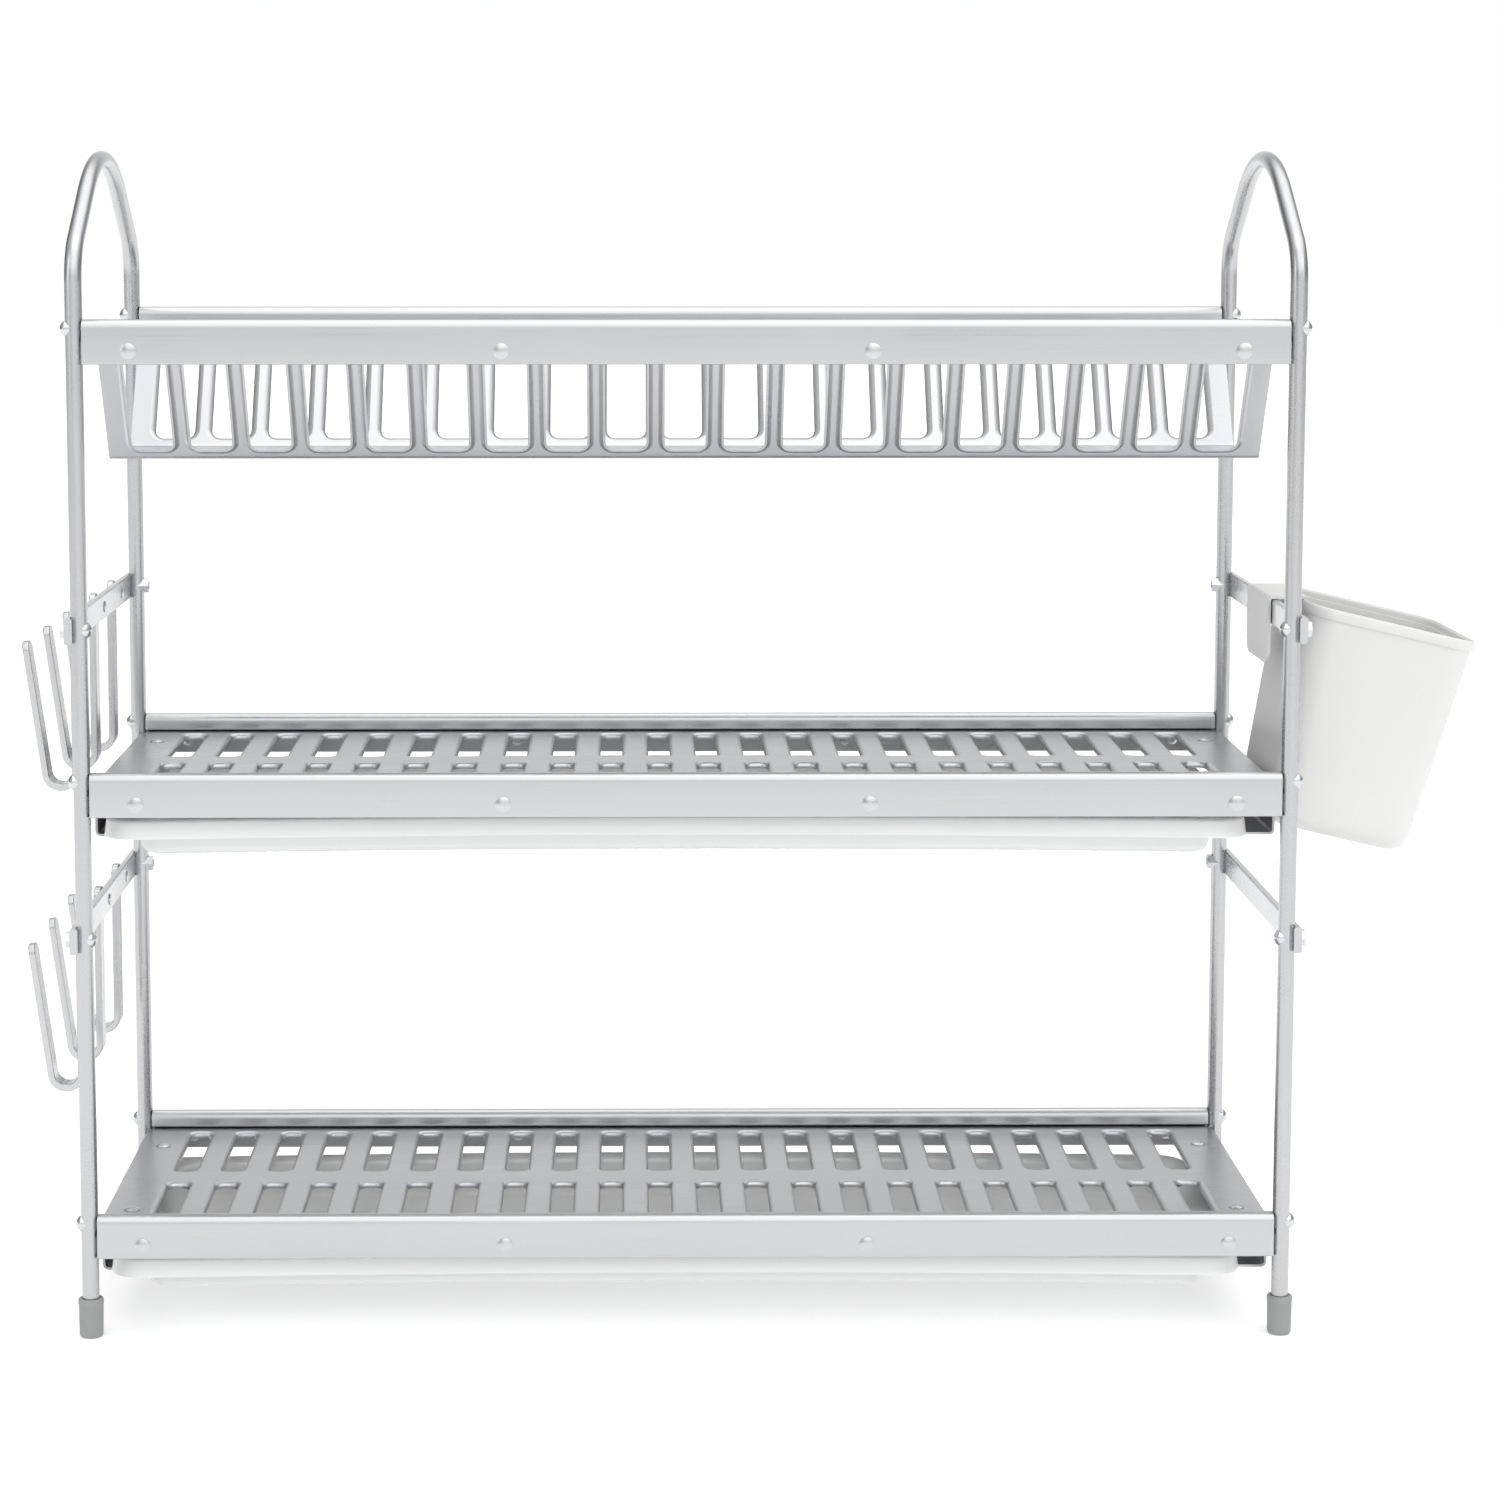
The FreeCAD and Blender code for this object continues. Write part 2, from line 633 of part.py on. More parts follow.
def mug_hook(level, y):
    """Flat strip bent into a J: riveted leg, round bend and a leaning outer leg."""
    face_x = -BAR_OUTER_X
    leg_x = face_x - HOOK_THICKNESS / 2
    lean = math.radians(HOOK_LEAN)
    hub = Vector(leg_x - HOOK_BEND_RADIUS, y, level - HOOK_DROP + HOOK_THICKNESS / 2 + HOOK_BEND_RADIUS)
    outer_start = Vector(-math.cos(lean), 0, -math.sin(lean))
    mid_angle = (math.pi + lean) / 2
    middle = Vector(math.cos(mid_angle), 0, -math.sin(mid_angle))
    up = Vector(-math.sin(lean), 0, math.cos(lean))
    outer_length = (level - HOOK_TIP_DROP - (hub + outer_start * HOOK_BEND_RADIUS).z) / math.cos(lean)

    def side_outline(radius):
        """Top of the leg, start, middle and end of the bend, then the tip."""
        leg_bottom = hub + ALONG_X * radius
        leg_top = Vector(leg_bottom.x, y, level + HOOK_TOP_RISE)
        bend_end = hub + outer_start * radius
        return leg_top, leg_bottom, hub + middle * radius, bend_end, bend_end + up * outer_length

    inner = side_outline(HOOK_BEND_RADIUS - HOOK_THICKNESS / 2)
    outer = side_outline(HOOK_BEND_RADIUS + HOOK_THICKNESS / 2)
    edges = []
    for top, bottom, bend, end, tip in (inner, outer):
        edges.append(Part.LineSegment(top, bottom).toShape())
        edges.append(Part.Arc(bottom, bend, end).toShape())
        edges.append(Part.LineSegment(end, tip).toShape())
    edges.append(Part.LineSegment(inner[0], outer[0]).toShape())
    edges.append(Part.LineSegment(inner[-1], outer[-1]).toShape())
    outline = Part.Wire(Part.__sortEdges__(edges))
    strip = prism(outline, ALONG_Y * HOOK_WIDTH)
    strip.translate(ALONG_Y * (-HOOK_WIDTH / 2))

    def at_an_end(edge):
        ends = [vertex.Point for vertex in edge.Vertexes]
        short = abs(edge.Length - HOOK_THICKNESS) < 0.01
        return short and min(point.z for point in ends) > level - HOOK_TIP_DROP - 2

    strip = strip.makeFillet(HOOK_END_ROUNDING, edges_where(strip, at_an_end))
    hole = Part.makeCylinder(RIVET_RADIUS, 3 * HOOK_THICKNESS, Vector(0, y, level), ALONG_X * -1)
    hole.translate(ALONG_X * (face_x + HOOK_THICKNESS))
    return strip.cut(hole)


def hook_rivets():
    rivets = []
    for level in BAR_LEVELS.values():
        for y in HOOK_Y:
            seat = Vector(-BAR_OUTER_X - HOOK_THICKNESS, y, level)
            rivets.append(rivet(seat, ALONG_X * -1, HOOK_THICKNESS + BAR_THICKNESS))
    return group(rivets)


# ---- cutlery cup ----

def cup_layer(height, inset, extra=0.0):
    """Rounded rectangle of the cup's outside at a height, drawn in by inset."""
    share = height / CUP_HEIGHT
    half_x = CUP_FOOT[0] + (CUP_MOUTH[0] - CUP_FOOT[0]) * share - inset + extra
    half_y = CUP_FOOT[1] + (CUP_MOUTH[1] - CUP_FOOT[1]) * share - inset + extra
    return rounded_rectangle(half_x, half_y, CUP_CORNER - inset, height)


def cup_solid(inset, low, high, rounding):
    solid = lofted(cup_layer(high, inset), cup_layer(low, inset))
    low_edges = edges_where(solid, lambda e: e.BoundBox.ZMax < low + 0.01)
    return solid.makeFillet(rounding, low_edges)


def tilted(shape):
    shape.rotate(Vector(0, 0, 0), ALONG_Y, CUP_LEAN)
    shape.translate(Vector(CUP_FOOT_X, 0, CUP_FOOT_Z))
    return shape


def hanger():
    """Strap from the cup's rim over the bar to a lip behind it."""
    bar_top = BAR_LEVELS["upper"] + BAR_HEIGHT / 2
    lip_outer = BAR_INNER_X - HANGER_GAP
    lip_inner = lip_outer - HANGER_THICKNESS
    under = bar_top + HANGER_GAP
    over = under + HANGER_THICKNESS
    low = under - HANGER_DROP
    lean = math.radians(CUP_LEAN)
    wall_x = CUP_FOOT_X + CUP_HEIGHT * math.sin(lean) - CUP_MOUTH[0] * math.cos(lean)
    outline = [
        (lip_inner, low), (lip_outer, low), (lip_outer, under), (BAR_OUTER_X + 2, under),
        (wall_x - 3, under - HANGER_STEP), (wall_x + 1, under - HANGER_STEP), (wall_x + 3, over),
        (lip_inner + HANGER_CHAMFER, over), (lip_inner, over - HANGER_CHAMFER), (lip_inner, low),
    ]
    corners = [Vector(x, -HANGER_HALF_WIDTH, z) for x, z in outline]
    strap = prism(Part.makePolygon(corners), ALONG_Y * 2 * HANGER_HALF_WIDTH)

    def lip_corner(edge):
        box = edge.BoundBox
        return box.ZMax < low + 0.01 and box.YLength < 0.01

    return strap.makeFillet(HANGER_CORNER, edges_where(strap, lip_corner))


def cutlery_cup():
    body = cup_solid(0.0, 0.0, CUP_HEIGHT, CUP_ROUNDING)
    rim_low = CUP_HEIGHT - CUP_RIM_HEIGHT
    rim = lofted(cup_layer(CUP_HEIGHT, 0.0, CUP_RIM_PROUD), cup_layer(rim_low, 0.0, CUP_RIM_PROUD))
    hollow = cup_solid(CUP_WALL, CUP_WALL, CUP_HEIGHT + 2 * OVERCUT, CUP_ROUNDING - CUP_WALL)
    outside = tilted(body.fuse(rim))
    return outside.fuse(hanger()).cut(tilted(hollow)).removeSplitter()


# ---- every node ----

def all_nodes():
    nodes = {"plate_rack": plate_rack(), "cutlery_cup": cutlery_cup()}
    for hand_name, hand in HANDS.items():
        nodes[f"{hand_name}_side_frame"] = side_frame(hand)
        for side_name, side in SIDES.items():
            nodes[f"foot_{side_name}_{hand_name}"] = foot(hand, side)
        for level_name, level in BAR_LEVELS.items():
            nodes[f"{hand_name}_bar_{level_name}"] = side_bar(hand, level)
    for tier, top in TIER_TOPS.items():
        for side_name, side in SIDES.items():
            nodes[f"{side_name}_rail_{tier}"] = rail(side, top)
    for tier in ("middle", "bottom"):
        top = TIER_TOPS[tier]
        nodes[f"{tier}_shelf"] = shelf(top)
        nodes[f"drip_tray_{tier}"] = drip_tray(top)
        for hand_name, hand in HANDS.items():
            nodes[f"tray_guide_{tier}_{hand_name}"] = tray_guide(hand, top)
    for level_name, level in BAR_LEVELS.items():
        for number, y in enumerate(HOOK_Y, start=1):
            nodes[f"mug_hook_{level_name}_{number}"] = mug_hook(level, y)
    nodes["rail_screws"] = rail_screws()
    nodes["rail_rivets"] = rail_rivets()
    nodes["shelf_rivets"] = shelf_rivets()
    nodes["bar_bolts"] = bar_bolts()
    nodes["bar_nuts"] = bar_nuts()
    nodes["hook_rivets"] = hook_rivets()
    return nodes


def main():
    os.makedirs("parts", exist_ok=True)
    for name, shape in sorted(all_nodes().items()):
        shape.exportStep(f"parts/{name}.step")
        box = shape.BoundBox
        print(
            f"{name:26s} solids {len(shape.Solids):2d} valid {shape.isValid()} volume {shape.Volume:10.1f}"
            f" x {box.XMin:8.2f} {box.XMax:8.2f} y {box.YMin:8.2f} {box.YMax:8.2f}"
            f" z {box.ZMin:7.2f} {box.ZMax:7.2f}"
        )


main()
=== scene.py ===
import math

import bmesh
import bpy
from bpy.props import FloatProperty, FloatVectorProperty, IntProperty, PointerProperty
from mathutils import Matrix, Vector


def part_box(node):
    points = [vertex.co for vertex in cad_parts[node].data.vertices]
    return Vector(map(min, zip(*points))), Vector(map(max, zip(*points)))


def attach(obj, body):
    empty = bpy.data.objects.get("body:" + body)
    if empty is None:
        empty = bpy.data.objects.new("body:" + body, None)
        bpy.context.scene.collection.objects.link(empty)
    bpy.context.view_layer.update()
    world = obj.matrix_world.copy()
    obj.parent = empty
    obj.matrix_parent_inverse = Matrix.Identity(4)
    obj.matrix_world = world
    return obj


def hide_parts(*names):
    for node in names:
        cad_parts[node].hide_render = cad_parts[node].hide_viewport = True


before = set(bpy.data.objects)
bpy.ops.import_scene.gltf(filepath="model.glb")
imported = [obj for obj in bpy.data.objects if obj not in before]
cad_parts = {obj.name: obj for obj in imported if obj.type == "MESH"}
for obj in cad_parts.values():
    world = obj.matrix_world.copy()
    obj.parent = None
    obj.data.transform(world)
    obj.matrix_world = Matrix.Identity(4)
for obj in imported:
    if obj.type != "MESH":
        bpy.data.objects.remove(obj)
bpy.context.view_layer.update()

bl_info = {
    "name": "Dish drying rack",
    "version": (1, 0, 0),
    "blender": (4, 5, 0),
    "location": "View3D > Sidebar > Dish rack",
    "description": "Builds the visible pieces of a dish drying rack round its packed frame",
    "category": "Object",
}

MM = 0.001
RACK_BODY = "rack"
HANDS = {"left": -1, "right": 1}
SIDES = {"front": -1, "rear": 1}
TIERS = ("bottom", "middle", "top")
LEVELS = ("lower", "upper")
AXIS_X = Vector((1, 0, 0))
AXIS_Y = Vector((0, 1, 0))
AXIS_Z = Vector((0, 0, 1))
RIGHT_ANGLE = math.pi / 2
NEAR = 0.01 * MM
CUT_TOLERANCE = 1e-7
CORNER_STEPS = 10
FOLD_STEPS = 6
SHARED_TIERS = ("middle", "bottom")


# ---- places read from the frame ----

def middle(node):
    low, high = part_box(node)
    return (low + high) / 2


def post_place(hand):
    """X of a side frame's posts and the Y of its rear one."""
    low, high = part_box(f"{hand}_side_frame")
    return (low.x + high.x) / 2, high.y - bpy.context.scene.rack_frame.tube_radius


# ---- what a user would change ----

def linear(hex_colour):
    """Linear RGBA of an sRGB hex colour."""
    channels = [int(hex_colour[i:i + 2], 16) / 255 for i in (1, 3, 5)]
    curve = [c / 12.92 if c <= 0.04045 else ((c + 0.055) / 1.055) ** 2.4 for c in channels]
    return (*curve, 1.0)


def length_prop(name, description, millimetres):
    return FloatProperty(
        name=name, description=description, default=millimetres * MM, min=0.0,
        subtype="DISTANCE", unit="LENGTH", precision=4,
    )


def colour_prop(name, description, hex_colour):
    return FloatVectorProperty(
        name=name, description=description, default=linear(hex_colour)[:3],
        size=3, min=0.0, max=1.0, subtype="COLOR",
    )


class RackFrameSizes(bpy.types.PropertyGroup):
    tube_radius: length_prop("Tube radius", "Outer radius of the bent tube", 4.25)
    tube_wall: length_prop("Tube wall", "Wall thickness of the bent tube", 1.0)
    crown_radius: length_prop("Crown radius", "Centreline radius over the top of the arch", 97.0)
    shoulder_radius: length_prop("Shoulder radius", "Centreline radius above each leg", 26.0)
    flank_angle: FloatProperty(
        name="Flank angle", description="Slope of the straight between shoulder and crown",
        default=math.radians(34.0), subtype="ANGLE", unit="ROTATION",
    )
    boss_size: length_prop("Boss size", "Height and depth of the screw boss along a rail", 9.2)
    rail_web: length_prop("Rail web", "Thickness of a rail's face", 1.4)
    ring_steps: IntProperty(name="Ring steps", description="Sides of a round tube", default=40, min=12)


class SheetSizes(bpy.types.PropertyGroup):
    thickness: length_prop("Sheet", "Thickness of the pressed sheet", 1.2)
    fold_radius: length_prop("Fold radius", "Outer radius of every fold", 2.8)
    slot_pitch: length_prop("Slot pitch", "Spacing of the drain slots along a shelf", 25.4)
    slot_width: length_prop("Slot width", "Clear width of a drain slot", 11.6)
    slot_length: length_prop("Slot length", "Clear length of a drain slot", 76.6)
    slot_row: length_prop("Slot row", "Distance of each row of slots from the middle", 49.3)
    slot_corner: length_prop("Slot corner", "Corner radius of a drain slot", 4.0)
    slot_columns: IntProperty(
        name="Slot columns", description="Drain slots in each row", default=22, min=1
    )
    rim_roll: length_prop("Rim roll", "Radius of the rolled-down rim of a slot", 2.6)
    rim_drop: length_prop("Rim drop", "Straight part of a slot's rim", 0.8)
    plate_pitch: length_prop("Plate pitch", "Spacing of the plate slots", 30.0)
    plate_slot_width: length_prop("Plate slot width", "Clear width of a plate slot", 20.8)
    plate_slot_corner: length_prop("Plate slot corner", "Corner radius of a plate slot", 4.5)
    flange_radius: length_prop("Flange radius", "Curve of the creased flange round a plate slot", 5.7)
    plate_slots: IntProperty(
        name="Plate slots", description="Slots along the plate rack", default=19, min=1
    )


class MouldingSizes(bpy.types.PropertyGroup):
    tray_wall: length_prop("Tray wall", "Wall thickness of a drip tray", 1.6)
    tray_bow: length_prop("Tray bow", "How far a tray arches up at mid length", 2.5)
    tray_corner: length_prop("Tray corner", "Corner radius of a tray's rim", 17.0)
    bowl_corner: length_prop("Bowl corner", "Corner radius of a tray's bowl", 13.0)
    cup_wall: length_prop("Cup wall", "Wall thickness of the cutlery cup", 1.8)
    cup_corner: length_prop("Cup corner", "Corner radius of the cup in plan", 14.0)
    cup_rounding: length_prop("Cup rounding", "Rounding round the foot of the cup", 10.0)


class RackColours(bpy.types.PropertyGroup):
    tube: colour_prop("Tube", "Satin drawn tube", "#BDBEC0")
    rail: colour_prop("Rail", "Satin extruded rail", "#C1C2C3")
    sheet: colour_prop("Sheet", "Mill-finish pressed sheet", "#C1C2C4")
    bar: colour_prop("Bar", "Flat bar of the sides and hooks", "#C0C1C3")
    rivet: colour_prop("Rivet", "Set rivets", "#C6C7C9")
    steel: colour_prop("Steel", "Zinc-plated screws, bolts and nuts", "#CDCFD2")
    tray: colour_prop("Tray", "Moulded drip trays", "#E5E6E6")
    cup: colour_prop("Cup", "Moulded cutlery cup", "#D8D8D7")
    foot: colour_prop("Foot", "Soft foot caps", "#929393")
    floor: colour_prop("Floor", "Pale studio floor", "#E4E4E4")


# ---- mesh helpers ----

def vertices_of(geometry):
    return [item for item in geometry if isinstance(item, bmesh.types.BMVert)]


def edges_of(geometry):
    return [item for item in geometry if isinstance(item, bmesh.types.BMEdge)]


def extrude_run(bm, edges, step):
    """Extrudes a chain of edges straight along step and returns the chain at the far end."""
    made = bmesh.ops.extrude_edge_only(bm, edges=edges)["geom"]
    ends = vertices_of(made)
    bmesh.ops.translate(bm, vec=step, verts=ends)
    reached = set(ends)
    return [edge for edge in edges_of(made) if all(v in reached for v in edge.verts)]


def extrude_turn(bm, edges, centre, axis, angle, steps):
    """Turns a chain of edges about an axis and returns the chain at the far end."""
    corners = list({v for edge in edges for v in edge.verts})
    made = bmesh.ops.spin(
        bm, geom=corners + edges, cent=centre, axis=axis, dvec=(0, 0, 0), angle=angle,
        steps=steps, use_merge=False, use_normal_flip=False, use_duplicate=False,
    )
    return edges_of(made["geom_last"])


def lathe(bm, outline, centre, axis, steps):
    """Turns an outline of (radius, height) points about an axis through centre."""
    turn = AXIS_Z.rotation_difference(axis).to_matrix()
    chain = [bm.verts.new(centre + turn @ Vector((radius, 0, height))) for radius, height in outline]
    rails = [bm.edges.new(pair) for pair in zip(chain, chain[1:])]
    bmesh.ops.spin(
        bm, geom=chain + rails, cent=centre, axis=axis, dvec=(0, 0, 0), angle=2 * math.pi,
        steps=steps, use_merge=True, use_normal_flip=False, use_duplicate=False,
    )


def round_corners(bm, corners, radius, steps):
    """Rounds corners of a flat outline."""
    bmesh.ops.bevel(
        bm, geom=corners, offset=radius, offset_type="OFFSET", segments=steps, profile=0.5,
        affect="VERTICES", material=-1,
    )


def rounded_plate(bm, half_x, half_y, radius, steps, centre=(0, 0, 0)):
    """One flat face with rounded corners."""
    others = set(bm.faces)
    corners = bmesh.ops.create_grid(bm, x_segments=1, y_segments=1, size=1.0)["verts"]
    bmesh.ops.scale(bm, vec=(half_x, half_y, 1), verts=corners)
    bmesh.ops.translate(bm, vec=centre, verts=corners)
    round_corners(bm, corners, radius, steps)
    return next(face for face in bm.faces if face not in others)


def step_in(bm, face, inward, depth):
    """Insets a face evenly and moves it along its normal; the face left is the inner one."""
    bmesh.ops.inset_individual(
        bm, faces=[face], thickness=inward, depth=depth, use_even_offset=True, use_interpolate=False
    )
    return face


def roll_in(bm, face, radius, start, end, steps, depth_sign):
    """Insets a face along an arc of a quarter circle, from one angle to another."""
    angles = [start + (end - start) * i / steps for i in range(steps + 1)]
    for before, after in zip(angles, angles[1:]):
        inward = radius * (math.sin(after) - math.sin(before))
        depth = radius * (math.cos(before) - math.cos(after))
        step_in(bm, face, max(inward, 0.001 * MM), depth_sign * depth)


def join_levels(bm, low, high):
    """Bridges the open loops that lie at two heights."""
    loops = [
        edge for edge in bm.edges
        if edge.is_boundary and any(
            all(abs(v.co.z - level) < NEAR for v in edge.verts) for level in (low, high)
        )
    ]
    bmesh.ops.bridge_loops(bm, edges=loops)


def round_over(bm, face, radius, steps, way=-1):
    """Rounds an upright wall into the floor below it, or with way=1 into the rim above it."""
    for step in range(steps):
        before, after = (RIGHT_ANGLE * i / steps for i in (step, step + 1))
        step_in(
            bm, face, radius * (math.cos(before) - math.cos(after)),
            way * radius * (math.sin(after) - math.sin(before)),
        )


def outline_face(bm, points, rounding, steps=6):
    """Flat face through the points, each corner rounded by its own radius."""
    corners = [bm.verts.new(point) for point in points]
    bm.faces.new(corners)
    for corner, radius in zip(corners, rounding):
        if radius:
            round_corners(bm, [corner], radius, steps)


def extrude_face(bm, step):
    """Closed bar from the flat faces in bm, extruded along step."""
    face_geometry = bm.faces[:]
    made = bmesh.ops.extrude_face_region(bm, geom=face_geometry, use_keep_orig=True)["geom"]
    bmesh.ops.translate(bm, vec=step, verts=vertices_of(made))


def bevel_edges(bm, edges, offset, steps):
    bmesh.ops.bevel(
        bm, geom=edges, offset=offset, offset_type="OFFSET", segments=steps, profile=0.5,
        affect="EDGES", clamp_overlap=True, material=-1,
    )


def cut_across(bm, place, normal):
    """Adds a line of edges where a plane crosses the mesh."""
    bmesh.ops.bisect_plane(
        bm, geom=bm.verts[:] + bm.edges[:] + bm.faces[:], dist=CUT_TOLERANCE,
        plane_co=place, plane_no=normal,
    )


def give_wall(bm, thickness, outward):
    """Gives an open surface a wall behind it; outward tells the way that its face looks."""
    bmesh.ops.recalc_face_normals(bm, faces=bm.faces[:])
    if sum(outward(face) for face in bm.faces) < 0:
        bmesh.ops.reverse_faces(bm, faces=bm.faces[:])
    bmesh.ops.solidify(bm, geom=bm.faces[:], thickness=thickness)


def add_piece(name, bm, material, body, replaced=(), sharp=32.0, even=False):
    """Makes a finished object of bm, which rides on a body and stands for CAD nodes."""
    mesh = bpy.data.meshes.new(name)
    bm.to_mesh(mesh)
    bm.free()
    mesh.shade_smooth()
    mesh.set_sharp_from_angle(angle=math.radians(sharp))
    mesh.materials.append(material)
    piece = bpy.data.objects.new(name, mesh)
    bpy.context.scene.collection.objects.link(piece)
    if even:
        flats = piece.modifiers.new("Flats", "WEIGHTED_NORMAL")
        flats.keep_sharp = True
        flats.weight = 80
    if replaced:
        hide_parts(*replaced)
    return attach(piece, body)


def merge_doubles(bm):
    bmesh.ops.remove_doubles(bm, verts=bm.verts[:], dist=0.005 * MM)


def clean(bm):
    """Merges doubles and turns every face of closed shells outwards."""
    merge_doubles(bm)
    bmesh.ops.recalc_face_normals(bm, faces=bm.faces[:])


# ---- materials ----

def add_node(tree, kind, inputs=None, **settings):
    """Adds a node; an input given as a socket is linked and any other value is set."""
    node = tree.nodes.new(kind)
    for name, value in settings.items():
        setattr(node, name, value)
    for key, value in (inputs or {}).items():
        if isinstance(value, bpy.types.NodeSocket):
            tree.links.new(value, node.inputs[key])
        else:
            node.inputs[key].default_value = value
    return node


def refinish(node, material):
    node.data.materials.clear()
    node.data.materials.append(material)


def start_material(name):
    """Empty node material with its shader, and the piece's own coordinates."""
    material = bpy.data.materials.get(name)
    if material:
        return material, None, None
    material = bpy.data.materials.new(name)
    material.use_nodes = True
    tree = material.node_tree
    tree.nodes.clear()
    place = add_node(tree, "ShaderNodeTexCoord").outputs["Object"]
    return material, tree, place


def finish_material(material, tree, shader):
    add_node(tree, "ShaderNodeOutputMaterial", {"Surface": shader.outputs["BSDF"]})
    return material


def grain(tree, place, size, detail, roughness=0.5):
    """Noise whose grain measures size = (x, y, z) in millimetres."""
    stretched = add_node(
        tree, "ShaderNodeMapping",
        {"Vector": place, "Scale": tuple(1 / (side * MM) for side in size)},
    )
    noise = add_node(
        tree, "ShaderNodeTexNoise",
        {"Vector": stretched.outputs["Vector"], "Scale": 1.0, "Detail": detail, "Roughness": roughness},
    )
    return noise.outputs["Fac"]


def spread(tree, value, low, high):
    """Maps the useful middle of a noise to low..high."""
    mapped = add_node(
        tree, "ShaderNodeMapRange",
        {"Value": value, "From Min": 0.3, "From Max": 0.7, "To Min": low, "To Max": high},
    )
    return mapped.outputs["Result"]


def tinted(tree, colour, amount):
    """The colour made a little lighter and darker by amount, a socket about 1."""
    shade = add_node(
        tree, "ShaderNodeMix", {"Factor": 1.0, 6: (*colour, 1.0), 7: amount},
        data_type="RGBA", blend_type="MULTIPLY",
    )
    return shade.outputs[2]


def colour_of(part):
    return getattr(bpy.context.scene.rack_colours, part)


def lined_metal(name, colour, lines, rough, rough_swing, depth, clouds=(70.0, 70.0, 70.0)):
    """Metal with fine lines left by its tool, whose marks measure lines = (x, y, z) mm."""
    material, tree, place = start_material(name)
    if tree is None:
        return material
    marks = grain(tree, place, lines, 2.0)
    cloud = grain(tree, place, clouds, 2.0)
    fine = spread(tree, marks, -rough_swing, rough_swing)
    broad = spread(tree, cloud, rough - 0.03, rough + 0.03)
    roughness = add_node(tree, "ShaderNodeMath", {0: fine, 1: broad}, operation="ADD", use_clamp=True)
    lightness = add_node(
        tree, "ShaderNodeMath",
        {0: spread(tree, marks, -0.015, 0.015), 1: spread(tree, cloud, 0.97, 1.0)}, operation="ADD",
    )
    bump = add_node(
        tree, "ShaderNodeBump",
        {"Height": marks, "Distance": depth * MM, "Strength": 0.12},
    )
    shader = add_node(
        tree, "ShaderNodeBsdfPrincipled",
        {
            "Base Color": tinted(tree, colour, lightness.outputs["Value"]),
            "Metallic": 1.0,
            "Roughness": roughness.outputs["Value"],
            "Normal": bump.outputs["Normal"],
        },
    )
    return finish_material(material, tree, shader)


def moulded_plastic(name, colour, rough, speckle_mm, depth, depth_of_light, weight):
    """Injection-moulded plastic: a faint skin texture and slow flow clouds, with light inside it."""
    material, tree, place = start_material(name)
    if tree is None:
        return material
    skin = grain(tree, place, (speckle_mm,) * 3, 3.0)
    flow = grain(tree, place, (160.0, 60.0, 60.0), 2.0)
    bump = add_node(
        tree, "ShaderNodeBump", {"Height": skin, "Distance": depth * MM, "Strength": 0.3}
    )
    shader = add_node(
        tree, "ShaderNodeBsdfPrincipled",
        {
            "Base Color": tinted(tree, colour, spread(tree, flow, 0.97, 1.0)),
            "Roughness": spread(tree, skin, rough - 0.04, rough + 0.04),
            "IOR": 1.49,
            "Subsurface Weight": weight,
            "Subsurface Radius": (1.0, 0.95, 0.9),
            "Subsurface Scale": depth_of_light * MM,
            "Normal": bump.outputs["Normal"],
        },
    )
    return finish_material(material, tree, shader)


def drawn_aluminium():
    """Anodised drawn tube: even satin, its draw lines etched to a grain, drawn 0.8 mm wide."""
    return lined_metal("Drawn_aluminium_satin", colour_of("tube"), (0.8, 0.8, 1.6), 0.29, 0.03, 0.002)


def extruded_aluminium():
    """Extruded rail: long die lines along its length, drawn 0.7 mm wide, under a satin anodise."""
    return lined_metal("Extruded_aluminium_satin", colour_of("rail"), (90.0, 0.7, 0.7), 0.33, 0.05, 0.03)


def rolled_sheet():
    """Mill-finish sheet: roll lines along the coil, which broaden the gloss across them."""
    return lined_metal("Rolled_aluminium_sheet", colour_of("sheet"), (60.0, 0.8, 0.8), 0.34, 0.07, 0.04)


def flat_bar():
    """Barrel-polished flat bar: short soft scratches under a bright anodise."""
    return lined_metal("Polished_flat_bar", colour_of("bar"), (0.8, 3.0, 6.0), 0.27, 0.02, 0.002)


def set_rivet():
    """Aluminium rivet set in a press: smooth head with a faint ring texture."""
    return lined_metal("Set_aluminium_rivet", colour_of("rivet"), (0.8, 0.8, 0.8), 0.30, 0.04, 0.01)


def zinc_steel():
    """Zinc-plated steel: bright, a little cloudy from its passivation."""
    return lined_metal(
        "Zinc_plated_steel", colour_of("steel"), (0.6, 0.6, 0.6), 0.24, 0.05, 0.01, (6.0, 6.0, 6.0)
    )


def tray_polypropylene():
    """Moulded polypropylene sheet: milky, half gloss, lets a little light into its thin wall."""
    return moulded_plastic("Moulded_polypropylene_tray", colour_of("tray"), 0.36, 1.6, 0.02, 4.0, 0.5)


def cup_polypropylene():
    """Moulded polypropylene cup: whiter and thicker than the trays, with a fine sparked skin."""
    return moulded_plastic("Moulded_polypropylene_cup", colour_of("cup"), 0.40, 1.2, 0.02, 2.5, 0.25)


def soft_vinyl():
    """Dip-moulded soft vinyl: dull grey, slightly pebbled, with broad weak highlights."""
    return moulded_plastic("Soft_grey_vinyl", colour_of("foot"), 0.52, 0.7, 0.03, 0.8, 0.05)


def studio_floor():
    """Matt painted board: no gloss that would mirror the feet."""
    material, tree, _ = start_material("Matt_studio_board")
    if tree is None:
        return material
    shader = add_node(
        tree, "ShaderNodeBsdfPrincipled",
        {
            "Base Color": (*colour_of("floor"), 1.0), "Roughness": 0.9,
            "Specular IOR Level": 0.1,
            "Emission Color": (1.0, 1.0, 1.0, 1.0), "Emission Strength": 0.35,
        },
    )
    return finish_material(material, tree, shader)


# ---- side frames, feet and rails ----

